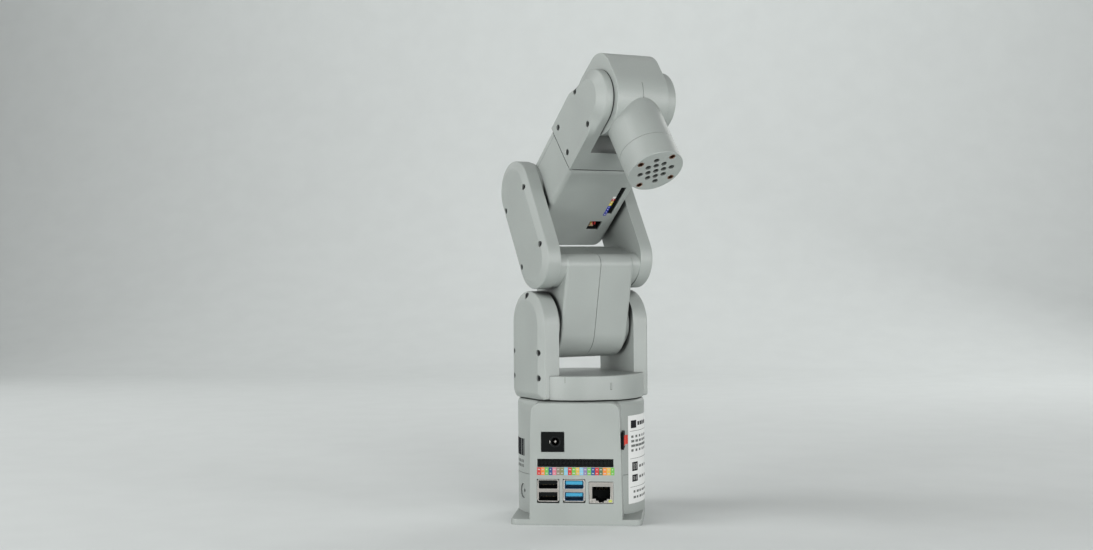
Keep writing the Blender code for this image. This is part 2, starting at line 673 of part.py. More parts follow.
def tine_outline(inset, base):
    """A forearm side seen along the wrist pivot, in the forearm's YZ plane from base to the round end."""
    radius = FOREARM_RADIUS - inset
    centre = (-FOREARM_OFFSET, WRIST_DISTANCE)
    return arc(centre, radius, 0, 180) + [(-FOREARM_OFFSET - radius, base), (-FOREARM_OFFSET + radius, base)]


def forearm(link):
    """The forked forearm with its wrist servo bay, roll hub and two covers, in the elbow's axes."""
    base = ELBOW_TOP + GAP
    fork = slab("forearm_fork", tine_outline(0, base), -TINE_RIM, TINE_RIM, "X")
    centre = (-FOREARM_OFFSET, WRIST_DISTANCE)
    scoop = cylinder("scoop", SCOOP_RADIUS, (-TINE_INNER, *centre), (TINE_INNER, *centre), 48)
    gap_box = box("gap_box", (-TINE_INNER, -60 * MM, WRIST_DISTANCE), (TINE_INNER, 50 * MM, 150 * MM))
    cut(fork, join(scoop, gap_box))
    cut(fork, cylinder("wrist_bore", 9.3 * MM, (-40 * MM, *centre), (40 * MM, *centre), 24))
    root = (0, -FOREARM_OFFSET, base + MM)
    hub = cylinder("hub", 13.6 * MM, (0, -FOREARM_OFFSET, ELBOW_TOP - 2.2 * MM), root, 28)
    neck = cylinder("neck", 8 * MM, (0, -FOREARM_OFFSET, 43.4 * MM), root, 20)
    join(fork, hub, neck)
    finish(fork, SHELL, link)
    cover = slab("forearm_cover_right", tine_outline(0, base), TINE_RIM + GAP, FOREARM_HALF_WIDTH, "X")
    ratio = 1 - 5.6 * MM / FOREARM_RADIUS
    for vertex in cover.data.vertices:
        if vertex.co.x > FOREARM_HALF_WIDTH - 0.01 * MM and vertex.co.z > WRIST_DISTANCE - MM:
            vertex.co.z = WRIST_DISTANCE + (vertex.co.z - WRIST_DISTANCE) * ratio
            vertex.co.y = -FOREARM_OFFSET + (vertex.co.y + FOREARM_OFFSET) * ratio
    for offset, drop in ((13.8, 8.5), (-13.8, 8.5), (11.2, 41.2), (-11.2, 41.2)):
        screw_hole(cover, -FOREARM_OFFSET + offset * MM, WRIST_DISTANCE - drop * MM, FOREARM_HALF_WIDTH)
    mirror_left(finish(cover, COVER, link))


# ---------------------------------------------------------------- head

def head_outline(inset):
    """The head seen along the wrist pivot: round below, flat in front, with two round top corners."""
    front = HEAD_FRONT - inset
    corner = HEAD_CORNER - inset
    roof = HEAD_TOP - inset
    points = arc((0, 0), front, 180, 360, 14)
    points += arc((front - corner, roof - corner), corner, 0, 90, 5)
    points += arc((-front + corner, roof - corner), corner, 90, 180, 5)
    return points


def head(link):
    """The head shell with its neck and wrist hubs, the plate that closes its back, and two servos."""
    shell = slab("head_shell", head_outline(0), -HEAD_HALF_WIDTH, HEAD_HALF_WIDTH, "X")
    round_edges(shell, 1.2 * MM, lambda p: abs(p.x) > HEAD_HALF_WIDTH - MM, 1)
    join(shell, cylinder("neck", NECK_RADIUS, (0, 0, 0), (0, 0, -NECK_END), 44))
    inner = HEAD_HALF_WIDTH - WALL
    cut(shell, slab("hollow", head_outline(WALL), -inner, inner, "X"))
    neck_bore = NECK_RADIUS - 2.7 * MM
    cut(shell, cylinder("neck_hollow", neck_bore, (0, 0, -10.7 * MM), (0, 0, -NECK_END - MM), 36))
    for side in (-1, 1):
        root = (side * (HEAD_HALF_WIDTH - 2 * MM), 0, 0)
        tip = (side * 25.5 * MM, 0, 0)
        join(shell, cylinder("hub", 8.8 * MM, root, tip, 20))
    cut(shell, box("mark", (-0.4 * MM, -30 * MM, -14.5 * MM), (0.4 * MM, -HEAD_FRONT + 0.6 * MM, -3 * MM)))
    cut(shell, box("back_opening", (-13 * MM, 15 * MM, -8 * MM), (13 * MM, 30 * MM, 16 * MM)))
    finish(shell, SHELL, link)
    face = HEAD_FRONT - 0.2 * MM
    plate = box("head_back", (-12.7 * MM, 21.6 * MM, -7.7 * MM), (12.7 * MM, face, 15.7 * MM))
    finish(plate, COVER, link)
    finish(box("j5_servo", (-15 * MM, -14 * MM, -4 * MM), (15 * MM, 14 * MM, 24 * MM)), DARK, link)
    servo = box("j6_servo", (-10 * MM, -10 * MM, -34 * MM), (10 * MM, 10 * MM, -6 * MM))
    finish(servo, DARK, link)


def tool_flange(link):
    """The turning flange: thirteen plain holes in a diamond and four threaded inserts at its corners."""
    start = -(NECK_END + GAP)
    end = -FLANGE_END
    flange = cylinder("tool_flange", NECK_RADIUS, (0, 0, start), (0, 0, end), 44)
    round_edges(flange, 0.5 * MM, lambda p: p.z < end + MM, 1)
    join(flange, cylinder("shaft", 6 * MM, (0, 0, start - MM), (0, 0, -35 * MM), 16))
    steps = range(-2, 3)
    for i in steps:
        for j in steps:
            corner = abs(i) == 2 and abs(j) == 2
            if abs(i) + abs(j) > 2 and not corner:
                continue
            spot = (i * HOLE_PITCH, j * HOLE_PITCH)
            radius = 2.3 * MM if corner else HOLE_RADIUS
            cut(flange, cylinder("hole", radius, (*spot, end + HOLE_DEPTH), (*spot, end - MM), 8))
            if corner:
                insert_name = "flange_insert_{}{}".format("ab"[i > 0], "12"[j > 0])
                inner = (*spot, end + HOLE_DEPTH - GAP)
                insert = cylinder(insert_name, 2.0 * MM, inner, (*spot, end + 0.1 * MM), 12)
                cut(insert, cylinder("thread", 1.3 * MM, (*spot, end + 10 * MM), (*spot, end - MM), 8))
                finish(insert, BRASS, link)
    finish(flange, SHELL, link)


def build():
    foot_plate()
    lower_shell()
    upper_shell()
    computer_board()
    usb_stack("usb2_stack", -18.9 * MM)
    usb_stack("usb3_stack", -1.0 * MM)
    ethernet_jack()
    pin_header()
    header_board()
    power_jack()
    audio_jack()
    power_switch()
    turntable_drive()

    turn = empty("turn_axis", None, (0, 0, 0), (0, 0, TURN_ANGLE))
    turn_disc(turn)
    uprights(turn)

    shoulder = empty("shoulder_axis", turn, (0, 0, PIVOT_Z), (BLOCK_LEAN, 0, 0))
    upper_halves(shoulder)
    shoulder_servo(shoulder)

    centre = fork_centres()[1]
    elbow = empty("elbow_axis", shoulder, (0, *centre), (FOREARM_LEAN - BLOCK_LEAN, 0, 0))
    elbow_shells(elbow)
    elbow_inside(elbow)

    roll = empty("roll_axis", elbow)
    forearm(roll)

    wrist = empty("wrist_axis", roll, (0, -FOREARM_OFFSET, WRIST_DISTANCE), (HEAD_LEAN - FOREARM_LEAN, 0, 0))
    head(wrist)

    tool = empty("tool_axis", wrist, (0, 0, 0), (0, 0, FLANGE_TURN))
    tool_flange(tool)


build()
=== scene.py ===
"""Looks of the desktop robot arm: fine shells, sockets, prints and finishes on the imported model.

Shapes are drawn in millimetres in the axes of their own link and are put in metres when they are placed.
In a link's axes X is its pivot axis, Z runs along the link and -Y is the side that faces the sockets.
"""
import json
import math

import bmesh
import bpy
from mathutils import Matrix, Vector


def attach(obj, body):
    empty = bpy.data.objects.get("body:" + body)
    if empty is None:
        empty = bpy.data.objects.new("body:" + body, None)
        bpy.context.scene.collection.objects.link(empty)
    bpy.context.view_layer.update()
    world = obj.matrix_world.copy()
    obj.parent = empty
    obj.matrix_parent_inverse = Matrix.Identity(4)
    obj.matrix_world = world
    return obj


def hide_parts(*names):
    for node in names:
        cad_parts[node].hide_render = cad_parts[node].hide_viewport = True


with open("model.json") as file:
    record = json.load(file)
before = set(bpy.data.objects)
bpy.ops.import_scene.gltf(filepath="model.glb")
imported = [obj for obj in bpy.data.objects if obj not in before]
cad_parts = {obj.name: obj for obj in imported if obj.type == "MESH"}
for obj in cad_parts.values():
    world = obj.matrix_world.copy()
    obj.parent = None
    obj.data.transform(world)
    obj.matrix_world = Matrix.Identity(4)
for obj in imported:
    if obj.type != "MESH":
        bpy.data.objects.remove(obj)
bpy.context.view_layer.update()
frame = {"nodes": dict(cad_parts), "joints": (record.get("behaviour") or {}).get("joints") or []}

MM = 0.001
SIDES = (("left", -1), ("right", 1))

# Base.
FOOT_TOP = 4.2
FOOT_HALF_WIDTH = 45.0
SPLIT_Z = 31.6
BASE_TOP = 83.6
BODY_RADIUS = 45.1
PANEL_Y = -52.75
PANEL_TOP_HALF = 30.5
PANEL_FOOT_HALF = 31.8
PANEL_CORNER = 6.5
SWITCH = (31.0, -43.3, 57.3)
AUDIO_AZIMUTH = -61

# Turntable.
DISC_BOTTOM = 84.0
DISC_TOP = 101.0
DISC_RADIUS = 45.0
UPRIGHT_INNER = 30.3
UPRIGHT_RIM = 41.7
SIDE_OUTER = 44.5
UPRIGHT_RADIUS = 23.6

# Upper arm.
BLOCK_HALF = 26.9
BLOCK_DEPTH = 21.3
BLOCK_LENGTH = 47.4
BLOCK_RISE = 5.9
FORK_LENGTH = 56.1
FORK_BEND = 42.0
FORK_RADIUS = 21.3
FORK_INNER = 32.4
FORK_RIM = 42.2

# Elbow and forearm.
OFFSET = 8.5
FOREARM_HALF = 29.9
FOREARM_RADIUS = 19.8
ELBOW_BOTTOM = -28.5
ELBOW_TOP = 52.6
ROLL_SEAM = ELBOW_TOP - 0.8
ELBOW_REAR = 6.5
WRIST = 100.2
TINE_INNER = 20.5
TINE_RIM_LEFT = 25.8
TINE_RIM_RIGHT = 28.6
SCOOP_RADIUS = 37.0

# Head and flange.
HEAD_HALF = 19.7
HEAD_FRONT = 24.4
HEAD_TOP = 28.4
HEAD_CORNER = 16.0
NECK_RADIUS = 19.1
NECK_END = 46.2
FLANGE_END = 63.4
HOLE_PITCH = 5.42
FLANGE_TURN = -23.7

# Looks and camera.
# Reach in metres of the painted shade that darkens the shells' creases, seams and holes.
PAINTED_SHADE_REACH = 0.013
SOFT_LEVEL = 4.7
ROCKER_TILT = -9
CAMERA_AT = (0.08127, -1.03438, 0.17492)
CAMERA_YAW = 5.812
CAMERA_PITCH = -0.235
CAMERA_ROLL = -0.486
CAMERA_LENS = 47.64


# ---------------------------------------------------------------- links

def joint(name):
    """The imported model's joint of that name."""
    return next(j for j in frame["joints"] if j["name"] == name)


def link_axes(pivot, along, origin):
    """The placing matrix of a link from its pivot axis, its long direction and its origin, in metres."""
    x = Vector(pivot).normalized()
    z = Vector(along).normalized()
    place = Matrix((x, z.cross(x), z)).transposed().to_4x4()
    place.translation = origin
    return place


def fork_centres():
    """The lower and upper centres of the fork arms, in the upper arm's YZ plane."""
    bend = math.radians(FORK_BEND)
    low = Vector((0, BLOCK_LENGTH))
    return low, low + Vector((math.sin(bend), math.cos(bend))) * FORK_LENGTH


pivot = -Vector(joint("shoulder")["axis"])
shoulder_at = Vector(joint("shoulder")["pos_m"])
elbow_at = Vector(joint("elbow")["pos_m"])
wrist_at = Vector(joint("wrist_pitch")["pos_m"])
PIVOT_Z = shoulder_at.z / MM

BASE = Matrix.Identity(4)
TURN = link_axes(pivot, (0, 0, 1), (0, 0, 0))
fork_top = fork_centres()[1]
rise = TURN.inverted() @ elbow_at - TURN.inverted() @ shoulder_at
lean = math.atan2(fork_top.x, fork_top.y) - math.atan2(rise.y, rise.z)
ARM = Matrix.Translation(shoulder_at) @ TURN @ Matrix.Rotation(lean, 4, "X")
ELBOW = link_axes(pivot, joint("forearm_roll")["axis"], elbow_at)
HEAD = link_axes(pivot, -Vector(joint("tool_roll")["axis"]), wrist_at)
TOOL = HEAD @ Matrix.Rotation(math.radians(FLANGE_TURN), 4, "Z")
rocker_at = Vector(joint("power_switch")["pos_m"])
ROCKER = Matrix.Translation(rocker_at) @ Matrix.Rotation(math.radians(ROCKER_TILT), 4, "Z")


# ---------------------------------------------------------------- finishes

def node(tree, kind, **inputs):
    """A new shader node with some of its input values set."""
    made = tree.nodes.new(kind)
    for name, value in inputs.items():
        made.inputs[name.replace("_", " ")].default_value = value
    return made


def noise(tree, coords, scale, detail=3.0, squeeze=(1, 1, 1)):
    """A noise texture on the object's own coordinates; scale is in patches per metre."""
    mapping = node(tree, "ShaderNodeMapping", Scale=squeeze)
    tree.links.new(coords, mapping.inputs["Vector"])
    made = node(tree, "ShaderNodeTexNoise", Scale=scale, Detail=detail)
    tree.links.new(mapping.outputs["Vector"], made.inputs["Vector"])
    return made.outputs["Fac"]


def remap(tree, source, low, high, start=0.35, end=0.65):
    """The source's values from start to end, stretched to low to high."""
    made = node(tree, "ShaderNodeMapRange")
    for key, value in (("From Min", start), ("From Max", end), ("To Min", low), ("To Max", high)):
        made.inputs[key].default_value = value
    tree.links.new(source, made.inputs["Value"])
    return made.outputs["Result"]


def blend(tree, factor, first, second, mode="MIX"):
    """A colour mix; first and second are colours or sockets."""
    made = tree.nodes.new("ShaderNodeMix")
    made.data_type = "RGBA"
    made.blend_type = mode
    for key, value in ((6, first), (7, second)):
        if isinstance(value, bpy.types.NodeSocket):
            tree.links.new(value, made.inputs[key])
        else:
            made.inputs[key].default_value = (*value, 1.0)
    if isinstance(factor, bpy.types.NodeSocket):
        tree.links.new(factor, made.inputs[0])
    else:
        made.inputs[0].default_value = factor
    return made.outputs[2]


def finish(name, colour, roughness, metallic=0.0, grain=2200, bump=0.08, vary=0.05, wear=0.0,
           squeeze=(1, 1, 1), tinted=False, specular=0.5, painted_shade_reach=0.0):
    """A moulded or metal surface: broad tone drift, fine grain in tone, gloss and bump, and edge wear.

    With a painted shade reach in metres, the tone is darkened towards near black where another surface comes
    that close: painted shade in creases, seams and holes."""
    made = bpy.data.materials.new(f"{name}_look")
    made.use_nodes = True
    tree = made.node_tree
    shader = tree.nodes["Principled BSDF"]
    shader.inputs["Metallic"].default_value = metallic
    shader.inputs["Specular IOR Level"].default_value = specular
    coords = tree.nodes.new("ShaderNodeTexCoord").outputs["Object"]
    broad = noise(tree, coords, 22, 2.0)
    fine = noise(tree, coords, grain, 3.0, squeeze)
    dark = [c * (1 - vary) for c in colour]
    light = [min(1.0, c * (1 + vary)) for c in colour]
    tone = blend(tree, remap(tree, broad, 0.0, 1.0), dark, light)
    tone = blend(tree, remap(tree, fine, 0.0, vary * 2.4), tone, [c * 0.72 for c in colour])
    if tinted:
        tint = tree.nodes.new("ShaderNodeVertexColor")
        tint.layer_name = "tint"
        tone = blend(tree, 1.0, tone, tint.outputs["Color"], "MULTIPLY")
    gloss = remap(tree, fine, roughness - 0.05, roughness + 0.07)
    if wear:
        rubbed = remap(tree, noise(tree, coords, 120, 4.0), 0.25, 1.0)
        tone = blend(tree, rubbed, tone, [min(1.0, c * (1 + wear)) for c in colour])
        gloss = remap(tree, fine, roughness - 0.15, roughness - 0.05)
    # Painted shade: the AO node finds surfaces close by and darkens the tone towards near black there, in
    # place of the shadow in creases, seams and holes.
    if painted_shade_reach:
        hollow = node(tree, "ShaderNodeAmbientOcclusion", Distance=painted_shade_reach)
        openness = remap(tree, hollow.outputs["AO"], 0.0, 1.0, 0.12, 0.56)
        tone = blend(tree, openness, [c * 0.05 for c in colour], tone)
    tree.links.new(tone, shader.inputs["Base Color"])
    tree.links.new(gloss, shader.inputs["Roughness"])
    relief = node(tree, "ShaderNodeBump", Strength=bump, Distance=0.00008)
    tree.links.new(fine, relief.inputs["Height"])
    tree.links.new(relief.outputs["Normal"], shader.inputs["Normal"])
    return made


SHELL_COLOUR = (0.27, 0.293, 0.278)
BLACK_COLOUR = (0.006, 0.007, 0.007)
# The shell finishes carry painted shade in their creases, seams and holes.
SHELL = (finish("shell", SHELL_COLOUR, 0.44, painted_shade_reach=PAINTED_SHADE_REACH),
         finish("shell_edge", SHELL_COLOUR, 0.44, wear=0.14, painted_shade_reach=PAINTED_SHADE_REACH))
BLACK = (finish("black_plastic", BLACK_COLOUR, 0.6, vary=0.2, specular=0.05),
         finish("black_edge", BLACK_COLOUR, 0.55, vary=0.2, wear=1.2, specular=0.12))
# The dark plastic also paints shade on the sheets laid in the roll seam and the wrist gaps.
DARK = (finish("dark_plastic", (0.02, 0.021, 0.023), 0.55, vary=0.15, specular=0.2),)
RED = (finish("red_plastic", (0.52, 0.030, 0.016), 0.4, vary=0.06, specular=0.25),
       finish("red_edge", (0.52, 0.030, 0.016), 0.4, wear=0.2, specular=0.25))
TAN = (finish("tan_plastic", (0.42, 0.30, 0.19), 0.42, vary=0.08),)
BLUE = (finish("blue_plastic", (0.035, 0.25, 0.40), 0.3, vary=0.06),
        finish("blue_edge", (0.035, 0.25, 0.40), 0.3, wear=0.4))
# Painted shade: the blue insulator's colour darkened to navy where it lines the sockets' mouths, in place of
# the shadow there.
BLUE_SHADED = (finish("blue_plastic_shaded", (0.012, 0.06, 0.13), 0.35, vary=0.1),)
LAMP = (finish("lamp_plastic", (0.42, 0.46, 0.10), 0.25, vary=0.08),)
PLATED = (finish("plated_steel", (0.34, 0.325, 0.30), 0.42, 0.7, 900, 0.12, 0.08, squeeze=(1, 1, 0.08)),
          finish("plated_edge", (0.62, 0.61, 0.57), 0.4, 0.6, wear=0.2))
SCREW_STEEL = (finish("screw_steel", (0.035, 0.036, 0.037), 0.45, 0.5, 1400, 0.1, 0.15, specular=0.2),)
GOLD = (finish("contact_gold", (0.78, 0.56, 0.24), 0.26, 1.0, 1200, 0.06, 0.08),)
BRASS = (finish("insert_brass", (0.46, 0.27, 0.19), 0.28, 1.0, 1500, 0.1, 0.08),)
BOARD = (finish("board_green", (0.018, 0.13, 0.055), 0.4, vary=0.12),)
PAPER = (finish("sticker_white", (0.62, 0.63, 0.62), 0.42, grain=3000, bump=0.03, vary=0.02),)
PRINT = (finish("print_ink", (0.84, 0.84, 0.84), 0.8, grain=3000, bump=0.03, vary=0.03, tinted=True,
                specular=0.03),)
# Painted shade: the colour of the dark strips that stand in for the shadow in the disc's index grooves.
GROOVE_SHADE = (finish("seam_shadow", (0.08, 0.088, 0.084), 0.7, vary=0.1, specular=0.1),)


# ---------------------------------------------------------------- shapes

WORKSHOP = bpy.data.collections.new("workshop")
bpy.context.scene.collection.children.link(WORKSHOP)


def arc(centre, radius, start, end, steps=24):
    """Points of an arc in the plane, angles in degrees."""
    angles = [math.radians(start + (end - start) * i / steps) for i in range(steps + 1)]
    return [(centre[0] + radius * math.cos(a), centre[1] + radius * math.sin(a)) for a in angles]


def stadium(a, b, radius, steps=40):
    """The outline of a slot with round ends about a and b."""
    heading = math.degrees(math.atan2(b[1] - a[1], b[0] - a[0]))
    far_end = arc(b, radius, heading - 90, heading + 90, steps)
    return far_end + arc(a, radius, heading + 90, heading + 270, steps)


def rounded(low, high, radius, steps=5):
    """A rectangle with round corners."""
    (left, bottom), (right, top) = low, high
    points = arc((right - radius, bottom + radius), radius, -90, 0, steps)
    points += arc((right - radius, top - radius), radius, 0, 90, steps)
    points += arc((left + radius, top - radius), radius, 90, 180, steps)
    points += arc((left + radius, bottom + radius), radius, 180, 270, steps)
    return points


def solid_object(solid, name="tool"):
    """A workshop object from a bmesh, with its faces turned outwards."""
    bmesh.ops.recalc_face_normals(solid, faces=solid.faces)
    mesh = bpy.data.meshes.new(name)
    solid.to_mesh(mesh)
    solid.free()
    made = bpy.data.objects.new(name, mesh)
    WORKSHOP.objects.link(made)
    return made


PLANES = {"Z": lambda a, b, c: (a, b, c), "X": lambda a, b, c: (c, a, b), "Y": lambda a, b, c: (a, -c, b)}


def loft(sections, axis="Z"):
    """A closed solid through outlines of equal point count: sections are (level, points)."""
    solid = bmesh.new()
    rings = []
    for level, points in sections:
        rings.append([solid.verts.new(PLANES[axis](x, y, level)) for x, y in points])
    count = len(rings[0])
    for lower, upper in zip(rings, rings[1:]):
        for i in range(count):
            solid.faces.new((lower[i], lower[(i + 1) % count], upper[(i + 1) % count], upper[i]))
    solid.faces.new(rings[0])
    solid.faces.new(rings[-1])
    return solid_object(solid)


def prism(points, low, high, axis="Z"):
    """A flat outline thickened from low to high. Axis X draws it in the YZ plane, Y in XZ towards -Y."""
    return loft([(low, points), (high, points)], axis)


def box(low, high):
    solid = bmesh.new()
    size = [h - l for l, h in zip(low, high)]
    middle = [(h + l) / 2 for l, h in zip(low, high)]
    bmesh.ops.create_cube(solid, size=1.0, matrix=Matrix.Translation(middle) @ Matrix.Diagonal((*size, 1)))
    return solid_object(solid)


def cylinder(radius, start, end, steps=72):
    """A cylinder between two points."""
    start, end = Vector(start), Vector(end)
    along = end - start
    place = Matrix.Translation((start + end) / 2) @ along.to_track_quat("Z", "Y").to_matrix().to_4x4()
    solid = bmesh.new()
    bmesh.ops.create_cone(solid, cap_ends=True, segments=steps, radius1=radius,
                          radius2=radius, depth=along.length, matrix=place)
    return solid_object(solid)


def bake(target):
    """Apply the target's modifiers."""
    bpy.context.view_layer.update()
    mesh = bpy.data.meshes.new_from_object(target.evaluated_get(bpy.context.evaluated_depsgraph_get()))
    target.modifiers.clear()
    target.data = mesh
    return target


def combine(target, operation, tools):
    """Apply one Boolean for each tool, use the tools up and weld tiny edges."""
    for tool in tools:
        modifier = target.modifiers.new("combine", "BOOLEAN")
        modifier.operation = operation
        modifier.object = tool
        bake(target)
        bpy.data.objects.remove(tool)
    solid = bmesh.new()
    solid.from_mesh(target.data)
    bmesh.ops.remove_doubles(solid, verts=solid.verts, dist=0.004)
    bmesh.ops.dissolve_degenerate(solid, edges=solid.edges, dist=0.002)
    solid.to_mesh(target.data)
    solid.free()
    return target


def cut(target, *tools):
    return combine(target, "DIFFERENCE", tools)


def join(target, *tools):
    return combine(target, "UNION", tools)


def keep(target, tool):
    return combine(target, "INTERSECT", [tool])


def merge(*pieces):
    """Several closed shapes as one object, each left as it is."""
    solid = bmesh.new()
    for piece in pieces:
        piece.data.transform(piece.matrix_basis)
        solid.from_mesh(piece.data)
    for piece in pieces:
        bpy.data.objects.remove(piece)
    return solid_object(solid)


def round_edges(target, width, choose, segments=4):
    """Round the edges whose two end points both satisfy choose."""
    mesh = target.data
    weights = mesh.attributes.new("bevel_weight_edge", "FLOAT", "EDGE")
    for edge in mesh.edges:
        ends = [mesh.vertices[i].co for i in edge.vertices]
        weights.data[edge.index].value = 1.0 if all(choose(e) for e in ends) else 0.0
    modifier = target.modifiers.new("round", "BEVEL")
    modifier.width = width
    modifier.segments = segments
    modifier.limit_method = "WEIGHT"
    bake(target)
    if "bevel_weight_edge" in target.data.attributes:
        target.data.attributes.remove(target.data.attributes["bevel_weight_edge"])
    return target


def mirrored(piece):
    """The left-hand twin of a right-hand shape."""
    twin = bpy.data.objects.new("twin", piece.data.copy())
    WORKSHOP.objects.link(twin)
    twin.data.transform(Matrix.Diagonal((-1, 1, 1, 1)))
    twin.data.flip_normals()
    return twin


def place(piece, name, link, body, finishes, replaces=(), slot=None, soften=0.3, angle=32, segments=2):
    """Soften the sharp edges, put the shape on its link in metres, and let it ride on its body."""
    mesh = piece.data
    mesh.materials.clear()
    for made in finishes:
        mesh.materials.append(made)
    for face in mesh.polygons:
        face.material_index = 0
    if soften:
        modifier = piece.modifiers.new("soften", "BEVEL")
        modifier.width = soften
        modifier.segments = segments
        modifier.limit_method = "ANGLE"
        modifier.angle_limit = math.radians(angle)
        modifier.use_clamp_overlap = False
        modifier.material = len(finishes) - 1
        bake(piece)
    mesh = piece.data
    mesh.transform(link @ Matrix.Scale(MM, 4))
    mesh.shade_smooth()
    mesh.set_sharp_from_angle(angle=math.radians(angle))
    weighted = piece.modifiers.new("weighted", "WEIGHTED_NORMAL")
    weighted.keep_sharp = True
    piece.name = name
    mesh.name = name
    WORKSHOP.objects.unlink(piece)
    bpy.context.scene.collection.objects.link(piece)
    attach(piece, body)
    if replaces:
        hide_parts(*replaces)
    return piece


def tint(piece, colour):
    """Give a print shape its ink colour."""
    layer = piece.data.color_attributes.new("tint", "FLOAT_COLOR", "POINT")
    for item in layer.data:
        item.color = (*colour, 1.0)
    return piece


def drawn_to(points, a, b, ratio):
    """The outline drawn in towards the segment from a to b."""
    a, b = Vector(a), Vector(b)
    drawn = []
    for point in map(Vector, points):
        along = (point - a).dot(b - a) / (b - a).length_squared
        spine = a + (b - a) * min(max(along, 0.0), 1.0)
        drawn.append(tuple(spine + (point - spine) * ratio))
    return drawn


def screw(x, y, z, way, radius=1.9):
    """A socket-head screw sunk in a side cover; way is the side it faces along X."""
    top = x - way * 1.3
    head = cylinder(radius, (x - way * 3.2, y, z), (top, y, z), 24)
    return cut(head, cylinder(0.95, (top - way * 0.9, y, z), (top + way, y, z), 6))


def screw_set(name, spots, outer, link, body):
    """The screws of both side covers, one piece a side; spots are the right-hand cover's."""
    for side, way in SIDES:
        heads = [screw(way * outer, y, z, way) for y, z in spots]
        place(merge(*heads), f"{name}_{side}", link, body, SCREW_STEEL, slot="dark_plastic", soften=0.12)


def screw_holes(spots, outer, radius=2.1):
    """The cutters of a right-hand cover's screw holes."""
    return [cylinder(radius, (outer - 3.4, y, z), (outer + 3, y, z), 28) for y, z in spots]


# ---------------------------------------------------------------- base

def curved_patch(azimuths, heights, radius, thick):
    """A thin plate on the round body between two azimuths, counted from -Y towards +X."""
    steps = max(2, int(abs(azimuths[1] - azimuths[0]) / 1.5))
    outer, inner = [], []
    for i in range(steps + 1):
        angle = math.radians(azimuths[0] + (azimuths[1] - azimuths[0]) * i / steps)
        way = Vector((math.sin(angle), -math.cos(angle)))
        outer.append(tuple(way * (radius + thick)))
        inner.append(tuple(way * radius))
    return prism(outer + inner[::-1], *heights)


def panel_half(z):
    """Half the socket panel's width at a height."""
    return PANEL_FOOT_HALF + (PANEL_TOP_HALF - PANEL_FOOT_HALF) * z / BASE_TOP


def body_shells():
    drum = cylinder(BODY_RADIUS, (0, 0, 1), (0, 0, BASE_TOP), 144)
    round_edges(drum, 3.5, lambda p: p.z > BASE_TOP - 1, 6)
    low, high = 0.6, BASE_TOP - 0.06
    corner = PANEL_CORNER
    front = [(-panel_half(low), low), (panel_half(low), low)]
    front += arc((panel_half(high) - corner, high - corner), corner, 0, 90, 12)
    front += arc((-panel_half(high) + corner, high - corner), corner, 90, 180, 12)
    panel = prism(front, 24, -PANEL_Y - 0.04, "Y")
    round_edges(panel, 0.9, lambda p: p.y < PANEL_Y + 1 and p.z > FOOT_TOP, 3)
    side = FOOT_HALF_WIDTH
    outline = arc((side - 5, PANEL_Y + 5), 5, -90, 0, 10) + arc((0, 0), side + 0.2, 0, 180, 72)
    outline += arc((-side + 5, PANEL_Y + 5), 5, 180, 270, 10)
    foot = prism(outline, 0, FOOT_TOP)
    round_edges(foot, 0.9, lambda p: p.z > FOOT_TOP - 0.1, 3)
    body = join(drum, foot, panel)
    seam = cylinder(BODY_RADIUS + 2, (0, 0, SPLIT_Z - 0.14), (0, 0, SPLIT_Z + 0.14), 144)
    cut(seam, cylinder(BODY_RADIUS - 0.7, (0, 0, 0), (0, 0, 60), 144), box((-31.3, -60, 0), (31.3, -20, 60)))
    windows = [((-26.5, 15.2), (-11.1, 31.6)), ((-8.7, 15.4), (6.7, 31.6)), ((9.0, 15.0), (25.8, 30.0)),
               ((-23.5, 50.0), (-7.4, 63.9)), ((-26.0, 39.8), (26.0, 45.4))]
    pockets = [prism(rounded(a, b, 0.4), -PANEL_Y - 13, -PANEL_Y + 2, "Y") for a, b in windows]
    x, y, z = SWITCH
    pockets.append(box((x - 5, y - 6.9, z - 4.9), (x + 4, y + 6.9, z + 4.9)))
    angle = math.radians(AUDIO_AZIMUTH)
    way = Vector((math.sin(angle), -math.cos(angle), 0))
    recess_at = Vector((0, 0, 18.9))
    pockets.append(cylinder(5.2, recess_at + way * 40.2, recess_at + way * 50, 48))
    for hole_x, hole_y in ((-32, -38), (32, -38), (-27, 24), (27, 24)):
        pockets.append(cylinder(1.8, (hole_x, hole_y, -1), (hole_x, hole_y, 3.4), 24))
        pockets.append(cylinder(3.2, (hole_x, hole_y, -1), (hole_x, hole_y, 1.4), 32))
    cut(body, seam, *pockets)
    wide = 90
    upper = bpy.data.objects.new("upper", body.data.copy())
    WORKSHOP.objects.link(upper)
    keep(body, box((-wide, -wide, -1), (wide, wide, SPLIT_Z)))
    keep(upper, box((-wide, -wide, SPLIT_Z), (wide, wide, 90)))
    place(body, "base_lower_shell", BASE, "base", SHELL, ("lower_shell", "foot_plate"), "shell", soften=0)
    place(upper, "base_upper_shell", BASE, "base", SHELL, ("upper_shell",), "shell", soften=0)
    barrel = cylinder(5.0, recess_at + way * 36, recess_at + way * 44.2, 48)
    cut(barrel, cylinder(1.2, recess_at + way * 37, recess_at + way * 50, 28))
    place(barrel, "audio_barrel", BASE, "base", SHELL, ("audio_jack",), "black_plastic", soften=0.3)


